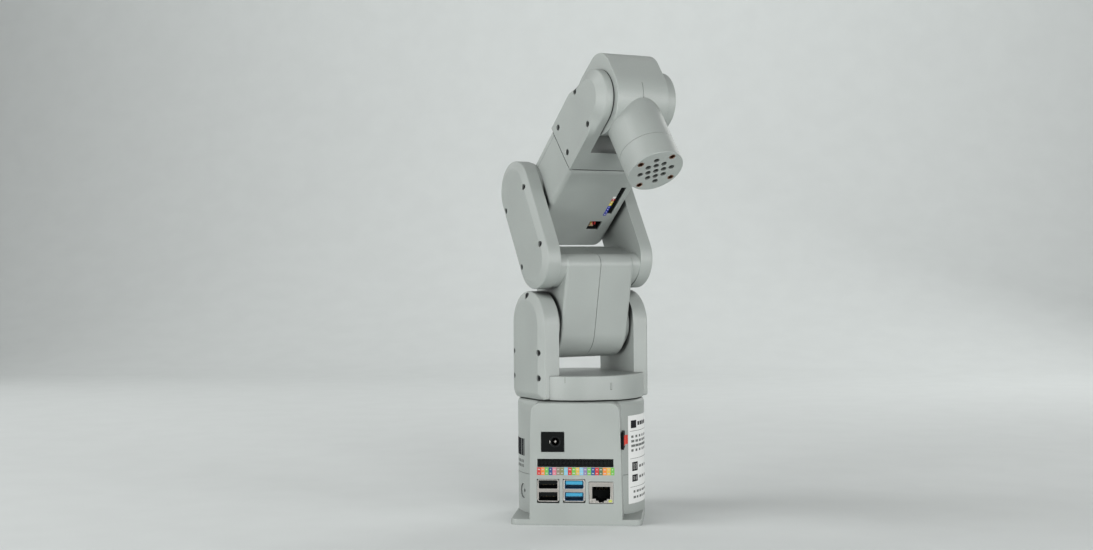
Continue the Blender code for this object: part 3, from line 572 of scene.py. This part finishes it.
def usb_stack(name, centre, plastic, shaded_lining):
    """A double socket: the plated shell, two mouths lined with dark sheets that are partly painted shade, and
    a tongue with four contacts in each.
    """
    front = -PANEL_Y + 0.1
    shell = prism(rounded((centre - 7.4, 16.2), (centre + 7.4, 31.3), 1.5), front - 12.5, front, "Y")
    mouths = ((16.8, 22.7), (25.0, 30.7))
    for low, high in mouths:
        cut(shell, prism(rounded((centre - 6.5, low), (centre + 6.5, high), 0.5), front - 10, front + 2, "Y"))
    place(shell, f"{name}_shell", BASE, "base", PLATED, (name,), "port_steel", soften=0.16)
    shaded_linings, tongues, contacts = [], [], []
    for low, high in mouths:
        # The lining is partly the insulator's own colour at the back and partly painted shade on the walls,
        # roof and floor, in place of the shadowed metal there.
        liner = box((centre - 6.45, -front + 0.25, low + 0.05), (centre + 6.45, -front + 9.9, high - 0.05))
        cut(liner, box((centre - 6.1, -front - 1, low + 0.3), (centre + 6.1, -front + 9.2, high - 0.25)))
        shaded_linings.append(liner)
        top = high - 0.55
        tongue = box((centre - 5.7, -front + 0.3, top - 2.3), (centre + 5.7, -front + 9.3, top))
        tongues.append(tongue)
        for i in range(4):
            x = centre + (i - 1.5) * 2.4
            contacts.append(box((x - 0.5, -front + 0.9, top - 2.4), (x + 0.5, -front + 8, top - 2.25)))
    place(merge(*shaded_linings), f"{name}_liners", BASE, "base", shaded_lining, slot="black_plastic", soften=0)
    place(merge(*tongues), f"{name}_tongues", BASE, "base", plastic, slot="black_plastic", soften=0.2)
    place(merge(*contacts), f"{name}_contacts", BASE, "base", GOLD, slot="insert_brass", soften=0)


def network_socket():
    """A plated frame with a stepped mouth, two small lamps in its lower corners and eight spring wires."""
    front = -PANEL_Y + 0.1
    middle, floor = 17.5, 18.2
    steps = ((6.25, floor), (3.9, 17.0), (2.0, 15.8))
    left, right = [], []
    for (reach, level), (narrower, _) in zip(steps, steps[1:]):
        left += [(middle - reach, level), (middle - narrower, level)]
        right += [(middle + reach, level), (middle + narrower, level)]
    reach, level = steps[-1]
    left.append((middle - reach, level))
    right.append((middle + reach, level))
    opening = left + right[::-1] + [(middle + 6.25, 26.6), (middle - 6.25, 26.6)]
    shell = prism(rounded((9.4, 15.4), (25.6, 29.6), 0.4), front - 12.5, front, "Y")
    cut(shell, prism(opening, front - 11.8, front + 2, "Y"))
    lamps = []
    for start, end in ((10.1, 12.6), (22.3, 25.0)):
        cut(shell, box((start, -front - 1, 15.9), (end, -front + 1.2, 17.7)))
        lamps.append(box((start + 0.1, -front + 0.1, 16.0), (end - 0.1, -front + 1.1, 17.6)))
    place(shell, "network_shell", BASE, "base", PLATED, ("ethernet_jack",), "port_steel", soften=0.14)
    place(lamps[0], "network_lamp_left", BASE, "base", PLATED, slot="white_plastic", soften=0.15)
    place(lamps[1], "network_lamp_right", BASE, "base", LAMP, slot="white_plastic", soften=0.15)

    def shrunk(ratio):
        return [(middle + (x - middle) * ratio, 21.5 + (z - 21.5) * ratio) for x, z in opening]

    liner = prism(shrunk(0.985), front - 11.7, front - 0.3, "Y")
    cut(liner, prism(shrunk(0.93), front - 11, front + 1, "Y"))
    place(liner, "network_liner", BASE, "base", BLACK, slot="black_plastic", soften=0)
    wires = []
    for i in range(8):
        x = middle + (i - 3.5) * 1.02
        wires.append(cylinder(0.2, (x, -front + 3.2, 25.8), (x, -front + 9, 23.4), 10))
    place(merge(*wires), "network_contacts", BASE, "base", GOLD, slot="insert_brass", soften=0)


def socket_strip(name, link, body, columns, centre, pitch, width, front, depth, upright, replaces):
    """A two-row socket strip: grooves between the columns and a square hole for each pin."""
    half = columns * pitch / 2 + 0.1
    low, high = -width / 2, width / 2
    strip = prism(rounded((-half, low), (half, high), 0.3), 0, depth, "Y")
    tools = [box((i * pitch - half + 0.1 - 0.14, -depth - 1, low - 1),
                 (i * pitch - half + 0.1 + 0.14, -depth + 0.5, high + 1)) for i in range(1, columns)]
    for i in range(columns):
        for row in (-1, 1):
            x = (i + 0.5) * pitch - half + 0.1
            z = row * pitch / 2
            tools.append(box((x - 0.42, -depth - 1, z - 0.42), (x + 0.42, -depth + 5, z + 0.42)))
    cut(strip, merge(*tools))
    turn = Matrix.Rotation(math.radians(90), 4, "Y") if upright else Matrix.Identity(4)
    strip.data.transform(Matrix.Translation((centre[0], front + depth, centre[1])) @ turn)
    place(strip, name, link, body, BLACK, replaces, "black_plastic", soften=0.1)


def power_socket():
    front = -PANEL_Y - 0.05
    jack = prism(rounded((-23.3, 50.2), (-7.6, 63.7), 0.5), front - 11, front, "Y")
    x, z = -13.8, 57.0
    cut(jack, cylinder(3.5, (x, -front + 0.5, z), (x, -front - 2, z), 48),
        cylinder(2.75, (x, -front + 9, z), (x, -front - 2, z), 40))
    spring = box((-17.55, -front - 0.05, 56.0), (-17.1, -front + 0.4, 58.0))
    place(spring, "power_spring", BASE, "base", PLATED, slot="port_steel", soften=0.05)
    place(jack, "power_body", BASE, "base", BLACK, ("power_jack",), "black_plastic", soften=0.25)
    pin = cylinder(0.95, (x, -front + 9.5, z), (x, -front + 1.4, z), 24)
    round_edges(pin, 0.6, lambda p: p.y < -front + 2, 4)
    place(pin, "power_pin", BASE, "base", PLATED, slot="port_steel", soften=0)


def power_switch():
    x, y, z = SWITCH
    rim = prism(rounded((y - 7.6, z - 5.9), (y + 7.6, z + 5.9), 1.0), x + 0.2, x + 2.15, "X")
    neck = box((x - 4.4, y - 6.6, z - 4.6), (x + 1, y + 6.6, z + 4.6))
    bezel = join(rim, neck)
    cut(bezel, box((x - 3.6, y - 5.75, z - 3.5), (x + 5, y + 5.75, z + 3.5)))
    place(bezel, "switch_bezel_fine", BASE, "base", BLACK, ("switch_bezel",), "black_plastic", soften=0.35)
    outline = arc((-1.4, 0), 1.6, 100, 260, 14)
    dip = arc((13.0, 0), 11.0, 207, 153, 16)
    outline += [(1.8, -5.1), *dip, (1.8, 5.1)]
    rocker = prism(outline, -3.15, 3.15)
    place(rocker, "rocker_fine", ROCKER, "switch", RED, ("switch_rocker",), "red_plastic", soften=0.3)


INKS = {"red": (0.55, 0.05, 0.05), "orange": (0.75, 0.24, 0.06), "green": (0.16, 0.45, 0.09),
        "navy": (0.04, 0.09, 0.25), "pink": (0.62, 0.20, 0.26), "brown": (0.26, 0.22, 0.17),
        "olive": (0.22, 0.24, 0.11), "sky": (0.22, 0.48, 0.62), "ochre": (0.62, 0.42, 0.10),
        "violet": (0.24, 0.20, 0.36), "moss": (0.10, 0.18, 0.10), "blue": (0.02, 0.04, 0.36),
        "yellow": (0.72, 0.62, 0.08), "white": (0.80, 0.80, 0.78), "ink": (0.02, 0.021, 0.023),
        "grey": (0.16, 0.17, 0.165), "chalk": (0.45, 0.45, 0.43)}
PIN_COLOURS = ("red orange green navy pink brown olive sky red green "
               "ochre sky violet green navy red moss orange ochre green").split()


def pin_labels():
    """The coloured key under the socket strip: two rows of cells, each with a plain light bar."""
    pitch = 52.9 / len(PIN_COLOURS)
    front = -PANEL_Y
    prints = []
    for i, name in enumerate(PIN_COLOURS):
        x = -26.3 + (i + 0.5) * pitch
        for row, z in enumerate((35.65, 38.25)):
            half = pitch * 0.485
            cell = box((x - half, -front - 0.06, z - 1.27), (x + half, -front + 0.05, z + 1.27))
            prints.append(tint(cell, INKS[name]))
            wide = 0.4 + 0.12 * ((i * 7 + row * 3) % 4)
            bar = box((x - wide, -front - 0.1, z - 0.45), (x + wide, -front, z + 0.3))
            prints.append(tint(bar, INKS["chalk"]))
    place(merge_tinted(prints), "pin_key", BASE, "base", PRINT, slot="white_plastic", soften=0)


def merge_tinted(prints):
    """Join tinted prints and keep each one's ink."""
    solid = bmesh.new()
    for piece in prints:
        solid.from_mesh(piece.data)
    made = bpy.data.objects.new("prints", bpy.data.meshes.new("prints"))
    WORKSHOP.objects.link(made)
    solid.to_mesh(made.data)
    solid.free()
    for piece in prints:
        bpy.data.objects.remove(piece)
    return made


def side_sticker():
    """The white sticker on the right flank, with plain rules and bars in place of its words."""
    heights = (10.9, 72.3)
    turn = (50.8, 112.0)
    sheet = curved_patch(turn, heights, BODY_RADIUS, 0.09)
    place(sheet, "flank_sticker", BASE, "base", PAPER, slot="white_plastic", soften=0)
    prints = []

    def bar(start, end, low, high, ink):
        patch = curved_patch((turn[0] + start, turn[0] + end), (low, high), BODY_RADIUS + 0.07, 0.05)
        prints.append(tint(patch, INKS[ink]))

    bar(3.8, 12.4, 63.4, 68.8, "ink")
    for start in (14.6, 19.4, 24.2, 29.0, 33.8):
        bar(start, start + 3.6, 64.9, 67.6, "ink")
    for z in (61.2, 42.0, 22.2):
        bar(2.6, 58, z, z + 0.3, "grey")
    for line, z in enumerate((56.6, 53.4, 50.2, 47.0)):
        for word in range(6):
            start = 4.2 + word * 6.6
            bar(start, start + 3.4 + 1.3 * ((line + word * 3) % 3), z, z + 1.7, "grey")
    for low, high in ((33.4, 39.6), (26.0, 30.8)):
        bar(5.4, 14.4, low, high, "ink")
        bar(6.8, 13.0, low + 1.0, high - 1.0, "white")
        for start in (17.6, 24.0, 32.0):
            bar(start, start + 4.4, low + 1.8, low + 3.6, "grey")
    for line, z in enumerate((18.2, 14.2)):
        for word in range(8):
            start = 7.0 + word * 5.4
            bar(start, start + 3.0 + ((line + word) % 2), z, z + 1.6, "grey")
    place(merge_tinted(prints), "flank_sticker_print", BASE, "base", PRINT, slot="black_plastic", soften=0)


def left_print():
    """Dark bars and small plain blocks printed on the left flank."""
    prints = []
    for start, end in ((-85.0, -76.0), (-75.2, -65.2), (-64.3, -60.6), (-59.8, -58.0)):
        prints.append(tint(curved_patch((start, end), (43.7, 55.7), BODY_RADIUS - 0.02, 0.06), INKS["ink"]))
    for z in (38.8, 35.5):
        for start, end in ((-78.0, -73.0), (-71.6, -66.2), (-65.0, -62.4), (-61.4, -59.4)):
            patch = curved_patch((start, end), (z, z + 2.0), BODY_RADIUS - 0.02, 0.05)
            prints.append(tint(patch, INKS["grey"]))
    place(merge_tinted(prints), "left_print", BASE, "base", PRINT, slot="black_plastic", soften=0)


# ---------------------------------------------------------------- turntable

def turn_disc():
    disc = cylinder(DISC_RADIUS, (0, 0, DISC_BOTTOM), (0, 0, DISC_TOP), 160)
    round_edges(disc, 0.8, lambda p: True, 3)
    reach = UPRIGHT_RADIUS + 0.05
    slots = [box((min(s * 30.1, s * 60), -reach, 80), (max(s * 30.1, s * 60), reach, 110)) for _, s in SIDES]
    hub = cylinder(14.6, (0, 0, 76), (0, 0, DISC_BOTTOM + 1), 48)
    join(cut(disc, *slots), hub)
    place(disc, "turntable_disc", TURN, "turntable", SHELL, ("turn_disc",), "shell", soften=0.12)
    # Painted shade: the index grooves are drawn as thin dark strips on the disc, in place of the grooves'
    # shadow.
    marks = [(-43.6, 96.4, DISC_TOP - 0.5), (-2.6, 91.6, 96.2), (-1.3, 91.6, 96.2)]
    lines = [curved_patch((azimuth - 0.14, azimuth + 0.14), (low, high), DISC_RADIUS - 0.1, 0.13)
             for azimuth, low, high in marks]
    lines.append(curved_patch((-2.74, -1.16), (91.3, 91.6), DISC_RADIUS - 0.1, 0.13))
    place(merge(*lines), "disc_mark_shade", TURN, "turntable", GROOVE_SHADE, slot="dark_plastic", soften=0)


def uprights():
    """Each upright with its cover: a slab with a round top and a wide chamfer round its outer face."""
    top = (0, PIVOT_Z)
    bottom = (0, DISC_BOTTOM + 17)
    low = DISC_BOTTOM
    front_corner, back_corner = 1.5, 7
    outline = arc(top, UPRIGHT_RADIUS, 0, 180, 64)
    outline += arc((-UPRIGHT_RADIUS + front_corner, low + front_corner), front_corner, 180, 270, 12)
    outline += arc((UPRIGHT_RADIUS - back_corner, low + back_corner), back_corner, 270, 360, 12)
    face = drawn_to(outline, bottom, top, 1 - 6.0 / UPRIGHT_RADIUS)
    slab = loft([(UPRIGHT_INNER, outline), (UPRIGHT_RIM, outline), (SIDE_OUTER, face)], "X")
    round_edges(slab, 0.9, lambda p: p.x > SIDE_OUTER - 0.1, 3)
    round_edges(slab, 0.8, lambda p: abs(p.x - UPRIGHT_RIM) < 0.05, 3)
    spots = [(y, PIVOT_Z + z) for y, z in ((0, 20.4), (-18, -19), (18, -19), (-18, -36.6), (18, -36.6))]
    cut(slab, *screw_holes(spots, SIDE_OUTER))
    screw_set("upright_screws", spots, SIDE_OUTER, TURN, "turntable")
    for side, piece in (("left", mirrored(slab)), ("right", slab)):
        place(piece, f"upright_{side}", TURN, "turntable", SHELL,
              (f"upright_frame_{side}", f"upright_cover_{side}"), "shell", soften=0.25)


# ---------------------------------------------------------------- upper arm

def upper_arm():
    """Each half of the block carries the fork arm on its flank, with its cover, as one moulding."""
    low, high = fork_centres()
    top = BLOCK_LENGTH + BLOCK_RISE

    def lipped(lower, half, roof, lip):
        points = list(lower)
        points += arc((half - lip, roof - lip), lip, 0, 90, 12)
        points += arc((-half + lip, roof - lip), lip, 90, 180, 12)
        return points

    block_outline = lipped(arc((0, -2.7), BLOCK_DEPTH, 180, 360, 56), BLOCK_DEPTH, top, 7.6)
    half = prism(block_outline, 0.11, BLOCK_HALF, "X")
    round_edges(half, 1.9, lambda p: p.x > BLOCK_HALF - 1, 5)
    radius = FORK_RADIUS - 0.6
    cross_outline = lipped(arc(low, radius, 186, 354, 40), radius, top - 0.03, 7.5)
    cross = prism(cross_outline, BLOCK_HALF - 6.3, FORK_INNER + 1, "X")
    outline = stadium(low, high, FORK_RADIUS, 56)
    face = drawn_to(outline, low, high, 1 - 5.4 / FORK_RADIUS)
    arm = loft([(FORK_INNER, outline), (FORK_RIM, outline), (SIDE_OUTER, face)], "X")
    round_edges(arm, 0.9, lambda p: p.x > SIDE_OUTER - 0.1, 3)
    round_edges(arm, 0.8, lambda p: abs(p.x - FORK_RIM) < 0.05, 3)
    collar = cylinder(18.7, (BLOCK_HALF - 1.8, 0, 0), (UPRIGHT_INNER - 0.5, 0, 0), 72)
    join(half, cross, arm, collar)
    along = (high - low).normalized()
    across = Vector((-along.y, along.x))
    spots = [tuple(low + along * d + across * o) for d in (2.3, 49.2) for o in (-15.7, 15.7)]
    cut(half, *screw_holes(spots, SIDE_OUTER))
    screw_set("arm_screws", spots, SIDE_OUTER, ARM, "upper_arm")
    for side, piece in (("left", mirrored(half)), ("right", half)):
        place(piece, f"upper_arm_{side}", ARM, "upper_arm", SHELL,
              (f"upper_half_{side}", f"arm_cover_{side}"), "shell", soften=0.28)


# ---------------------------------------------------------------- elbow

def elbow_box(back, front):
    """A slice of the elbow housing, round below and flat at the roll joint."""
    half = FOREARM_HALF
    points = arc((-half + 7, ELBOW_BOTTOM + 7), 7, 180, 270, 12)
    points += arc((half - 7, ELBOW_BOTTOM + 7), 7, 270, 360, 12)
    points += [(half, ROLL_SEAM), (-half, ROLL_SEAM)]
    return prism(points, back, front, "Y")


def elbow():
    front = OFFSET + FOREARM_RADIUS
    back = OFFSET - FOREARM_RADIUS
    split = back + ELBOW_REAR

    def outer_edge(p):
        return p.z < ROLL_SEAM - 1 or abs(p.x) > FOREARM_HALF - 1

    shell = round_edges(elbow_box(split + 0.1, front), 4, lambda p: p.y < -front + 1 and outer_edge(p), 7)
    rear = round_edges(elbow_box(back, split), 5, lambda p: p.y > -back - 1 and outer_edge(p), 7)
    cut(shell, prism(rounded((9.5, -9.2), (19.4, -0.1), 0.5), front - 7.5, front + 2, "Y"),
        prism(rounded((19.5, 8.0), (23.6, 35.5), 0.4), front - 7.5, front + 2, "Y"))
    place(shell, "elbow_shell_front", ELBOW, "elbow", SHELL, ("elbow_front",), "shell", soften=0.22)
    place(rear, "elbow_shell_rear", ELBOW, "elbow", SHELL, ("elbow_rear",), "shell", soften=0.22)
    # Painted shade: a dark sheet laid in the roll seam's gap, in place of the seam's shadow.
    inset = 0.45
    gap_shade = prism(rounded((inset - FOREARM_HALF, inset - front), (FOREARM_HALF - inset, -back - inset), 4),
                 ROLL_SEAM - 0.3, ROLL_SEAM + 0.5)
    place(gap_shade, "roll_gap_shade", ELBOW, "elbow", DARK, slot="dark_plastic", soften=0)
    hub = cylinder(20.5, (FOREARM_HALF - 0.5, 0, 0), (FORK_INNER - 0.4, 0, 0), 64)
    for side, piece in (("left", mirrored(hub)), ("right", hub)):
        place(piece, f"elbow_collar_{side}", ELBOW, "elbow", SHELL, (f"j3_hub_{side}",), "shell", soften=0.2)
    port = box((9.7, -front + 0.8, -9.0), (19.2, -front + 7.2, -0.3))
    cut(port, box((10.3, -front - 1, -8.4), (18.6, -front + 6.5, -0.9)))
    place(port, "elbow_port_frame", ELBOW, "elbow", BLACK, ("elbow_port",), "black_plastic", soften=0.15)
    plug = prism([(12.0, -8.0), (16.2, -8.0), (15.2, -5.6), (13.9, -4.4), (12.8, -5.6)],
                 front - 6.4, front - 2.4, "Y")
    place(plug, "elbow_plug", ELBOW, "elbow", TAN, slot="white_plastic", soften=0.4)
    leads = []
    for x, ink in ((12.9, "ochre"), (14.4, "red"), (16.2, "red")):
        lead = cylinder(0.4, (x, -front + 2.1, -5.6), (x + 0.2, -front + 5.4, -1.2), 16)
        leads.append(tint(lead, INKS[ink]))
    place(merge_tinted(leads), "elbow_leads", ELBOW, "elbow", PRINT, slot="red_plastic", soften=0)
    socket_strip("elbow_strip", ELBOW, "elbow", 10, (21.55, 21.75), 2.68, 3.5, -front + 0.7, 6.0, True,
                 ("elbow_header",))
    prints = []
    stops = ((24.9, "white"), (23.0, "red"), (20.4, "ochre"), (17.9, "yellow"), (15.3, "blue"),
             (12.7, "blue"), (10.1, "blue"), (7.5, "blue"))
    for z, ink in stops:
        prints.append(tint(box((17.0, -front - 0.06, z - 1.2), (19.4, -front + 0.05, z + 1.2)), INKS[ink]))
        prints.append(tint(box((17.8, -front - 0.1, z - 0.35), (18.6, -front, z + 0.35)), INKS["white"]))
    place(merge_tinted(prints), "elbow_key", ELBOW, "elbow", PRINT, slot="white_plastic", soften=0)


# ---------------------------------------------------------------- forearm

def forearm():
    """The fork with its two side covers: chamfered only round the wrist end, hollowed for the head."""
    centre = (-OFFSET, WRIST)
    base = ROLL_SEAM + 0.6
    left, right = -OFFSET - FOREARM_RADIUS, -OFFSET + FOREARM_RADIUS

    def side(radius):
        """The side outline; a smaller radius draws in its round end and fades out below the wrist."""
        fade = []
        for i in range(11):
            share = i / 11
            drawn = (FOREARM_RADIUS - radius) * share * share * (3 - 2 * share)
            fade.append((drawn, WRIST - 16 * (1 - share)))
        points = [(right - drawn, z) for drawn, z in fade] + arc(centre, radius, 0, 180, 64)
        points += [(left + drawn, z) for drawn, z in reversed(fade)]
        return points + [(left, base), (right, base)]

    full = side(FOREARM_RADIUS)
    body = loft([(-FOREARM_HALF, side(12.6)), (-TINE_RIM_LEFT, full), (TINE_RIM_RIGHT, full),
                 (FOREARM_HALF, side(17.4))], "X")
    round_edges(body, 1.2, lambda p: p.x < 1 - FOREARM_HALF and p.z > WRIST - 11, 4)
    round_edges(body, 0.9, lambda p: abs(p.x + TINE_RIM_LEFT) < 0.05 and p.z > WRIST - 11, 3)
    scoop = cylinder(SCOOP_RADIUS, (-TINE_INNER, *centre), (TINE_INNER, *centre), 120)
    gap = box((-TINE_INNER, -60, WRIST), (TINE_INNER, 50, 150))
    cut(body, join(scoop, gap))
    spots = [(-OFFSET + o, WRIST - d) for o, d in ((15.2, 8.2), (-13.8, 10.4), (13.4, 40.6), (-8.6, 42.6))]
    holes = screw_holes(spots, FOREARM_HALF)
    cut(body, *[mirrored(h) for h in holes], *holes)
    screw_set("forearm_screws", spots, FOREARM_HALF, ELBOW, "forearm")
    ring = cylinder(13.4, (0, -OFFSET, ELBOW_TOP - 4.5), (0, -OFFSET, ELBOW_TOP + 2), 64)
    join(body, ring)
    place(body, "forearm_shell", ELBOW, "forearm", SHELL,
          ("forearm_fork", "forearm_cover_left", "forearm_cover_right"), "shell", soften=0.3)


# ---------------------------------------------------------------- head

def head():
    outline = arc((0, 0), HEAD_FRONT, 180, 360, 72)
    outline += arc((HEAD_FRONT - HEAD_CORNER, HEAD_TOP - HEAD_CORNER), HEAD_CORNER, 0, 90, 20)
    outline += arc((-HEAD_FRONT + HEAD_CORNER, HEAD_TOP - HEAD_CORNER), HEAD_CORNER, 90, 180, 20)
    shell = prism(outline, -HEAD_HALF, HEAD_HALF, "X")
    round_edges(shell, 1.3, lambda p: abs(p.x) > HEAD_HALF - 0.1, 4)
    neck = cylinder(NECK_RADIUS, (0, 0, 0), (0, 0, -NECK_END), 96)
    join(shell, neck)
    groove = box((-0.22, -30, -15.5), (0.22, 0, -5.5))
    cut(groove, cylinder(HEAD_FRONT - 0.5, (-1, 0, 0), (1, 0, 0), 96))
    cut(shell, groove,
        prism(rounded((-12.9, -7.9), (12.9, 15.9), 1.5), -26, -HEAD_FRONT + 2.2, "Y"))
    place(shell, "head_shell_fine", HEAD, "head", SHELL, ("head_shell",), "shell", soften=0.22)
    # Painted shade: a dark disc on each side of the head, inside the gap to the tine, in place of the gap's
    # shadow.
    for side, way in SIDES:
        ends = [(way * reach, 0, 0) for reach in (HEAD_HALF - 0.5, TINE_INNER - 0.25)]
        gap_shade = cylinder(FOREARM_RADIUS - 0.35, *ends, 96)
        place(gap_shade, f"wrist_gap_shade_{side}", HEAD, "head", DARK, slot="dark_plastic", soften=0)
    plate = prism(rounded((-12.75, -7.75), (12.75, 15.75), 1.4), -HEAD_FRONT + 0.15, -HEAD_FRONT + 2.1, "Y")
    spots = [(x, z) for x in (-10.2, 10.2) for z in (-5.2, 13.2)]
    cut(plate, *[cylinder(1.4, (x, HEAD_FRONT - 1.2, z), (x, HEAD_FRONT + 1, z), 24) for x, z in spots])
    place(plate, "head_plate", HEAD, "head", SHELL, ("head_back",), "cover", soften=0.25)
    heads = []
    for x, z in spots:
        top = HEAD_FRONT - 0.5
        button = cylinder(1.15, (x, top - 0.9, z), (x, top, z), 20)
        heads.append(cut(button, cylinder(0.6, (x, top - 0.5, z), (x, top + 1, z), 6)))
    place(merge(*heads), "head_plate_screws", HEAD, "head", SCREW_STEEL, slot="dark_plastic", soften=0.1)


def flange():
    """The turning flange: a diamond of plain holes and a threaded insert at each corner."""
    start, end = -(NECK_END + 0.17), -FLANGE_END
    body = cylinder(NECK_RADIUS, (0, 0, start), (0, 0, end), 96)
    round_edges(body, 0.5, lambda p: p.z < end + 1, 3)
    holes, corners = [], []
    for i in range(-2, 3):
        for j in range(-2, 3):
            spot = (i * HOLE_PITCH, j * HOLE_PITCH)
            corner = abs(i) == 2 and abs(j) == 2
            if corner:
                corners.append((f"flange_insert_{'ab'[i > 0]}{'12'[j > 0]}", spot))
            if abs(i) + abs(j) <= 2 or corner:
                holes.append(cylinder(2.2 if corner else 2.0, (*spot, end + 15), (*spot, end - 1), 32))
    cut(body, *holes)
    place(body, "flange_fine", TOOL, "tool", SHELL, ("tool_flange",), "shell", soften=0.2)
    for name, spot in corners:
        insert = cylinder(2.1, (*spot, end + 4.7), (*spot, end + 0.08), 32)
        cut(insert, cylinder(1.65, (*spot, end + 10), (*spot, end - 1), 24))
        place(insert, f"{name}_fine", TOOL, "tool", BRASS, (name,), "insert_brass", soften=0.18)


# ---------------------------------------------------------------- studio

def area_light(name, at, aim, size, power):
    """A rectangular soft light at a place, facing another; power is in watts."""
    lamp = bpy.data.lights.new(name, "AREA")
    lamp.shape = "RECTANGLE"
    lamp.size, lamp.size_y = size
    lamp.energy = power
    made = bpy.data.objects.new(name, lamp)
    made.location = at
    made.rotation_euler = (Vector(aim) - Vector(at)).to_track_quat("-Z", "Y").to_euler()
    bpy.context.scene.collection.objects.link(made)
    return made


def softbox(name, azimuth, elevation, power):
    """A square soft light round the arm; azimuth is counted from the sockets' side towards +X."""
    turn, tilt = math.radians(azimuth), math.radians(elevation)
    way = Vector((math.cos(tilt) * math.sin(turn), -math.cos(tilt) * math.cos(turn), math.sin(tilt)))
    area_light(name, Vector((0, 0, 0.2)) + way * 1.7, (0, 0, 0.17), (0.7, 0.7), power)


def studio():
    """A pale floor that curves up into a pale wall, and soft lights."""
    back, wide, bend = 2.2, 3.0, 0.9
    curve = [(y + back - bend, z + bend) for y, z in arc((0, 0), bend, -90, 0, 24)]
    profile = [(-3.0, 0.0), *curve, (back, 3.0)]
    solid = bmesh.new()
    rows = [[solid.verts.new((x, y, z)) for y, z in profile] for x in (-wide, wide)]
    for i in range(len(profile) - 1):
        solid.faces.new((rows[0][i], rows[1][i], rows[1][i + 1], rows[0][i + 1]))
    floor = solid_object(solid, "studio_floor")
    floor.data.shade_smooth()
    paper = finish("studio_paper", (0.62, 0.65, 0.64), 0.85, grain=700, bump=0.04, vary=0.012)
    floor.data.materials.append(paper)
    WORKSHOP.objects.unlink(floor)
    bpy.context.scene.collection.objects.link(floor)
    world = bpy.context.scene.world or bpy.data.worlds.new("studio")
    bpy.context.scene.world = world
    world.use_nodes = True
    background = world.node_tree.nodes["Background"]
    background.inputs["Strength"].default_value = 0.0
    softbox("left_side_low", -75, 2, SOFT_LEVEL)
    softbox("left_side", -75, 25, SOFT_LEVEL / 2)
    softbox("left_high", -75, 50, SOFT_LEVEL * 2)
    softbox("left_front_low", -40, 2, SOFT_LEVEL * 4)
    softbox("right_front_low", 25, 2, SOFT_LEVEL * 3)
    softbox("right_front", 25, 25, SOFT_LEVEL)
    softbox("right_side_low", 60, 2, SOFT_LEVEL * 3)
    softbox("left_back", -125, 20, SOFT_LEVEL / 2)
    softbox("right_back", 145, 20, SOFT_LEVEL)
    area_light("backdrop_wash", (0, 0.9, 1.6), (0, 2.2, 0), (2.4, 0.5), SOFT_LEVEL * 3.5)


def camera():
    """A camera slightly right of the sockets and at half the arm's height."""
    yaw, pitch, roll = (math.radians(a) for a in (CAMERA_YAW, CAMERA_PITCH, CAMERA_ROLL))
    forward = Vector((-math.sin(yaw) * math.cos(pitch), math.cos(yaw) * math.cos(pitch), math.sin(pitch)))
    right = Vector((math.cos(yaw), math.sin(yaw), 0))
    up = right.cross(forward)
    level = Matrix((right, up, -forward)).transposed().to_4x4()
    data = bpy.data.cameras.new("camera")
    data.sensor_width = 36
    data.lens = CAMERA_LENS
    data.clip_start = 0.01
    made = bpy.data.objects.new("camera", data)
    made.matrix_world = Matrix.Translation(CAMERA_AT) @ level @ Matrix.Rotation(roll, 4, "Z")
    bpy.context.scene.collection.objects.link(made)
    bpy.context.scene.camera = made


def colour_response():
    settings = bpy.context.scene.view_settings
    settings.view_transform = "Standard"
    settings.look = "None"


def inner_finishes():
    """Finishes of the CAD pieces that stay: boards, servos and bearings inside the shells."""
    for name, carried in frame["nodes"].items():
        if carried.hide_render:
            continue
        kind = BOARD if "board" in name else PLATED if "bearing" in name else DARK
        for held in carried.material_slots:
            held.material = kind[0]


colour_response()
camera()
studio()
body_shells()
usb_stack("usb2_stack", -18.8, BLACK, BLACK)
usb_stack("usb3_stack", -1.0, BLUE, BLUE_SHADED)
network_socket()
socket_strip("pin_strip", BASE, "base", 20, (0, 42.6), 2.54, 5.0, PANEL_Y + 0.15, 7.5, False, ("pin_header",))
power_socket()
power_switch()
pin_labels()
side_sticker()
left_print()
turn_disc()
uprights()
upper_arm()
elbow()
forearm()
head()
flange()
inner_finishes()
bpy.data.collections.remove(WORKSHOP)
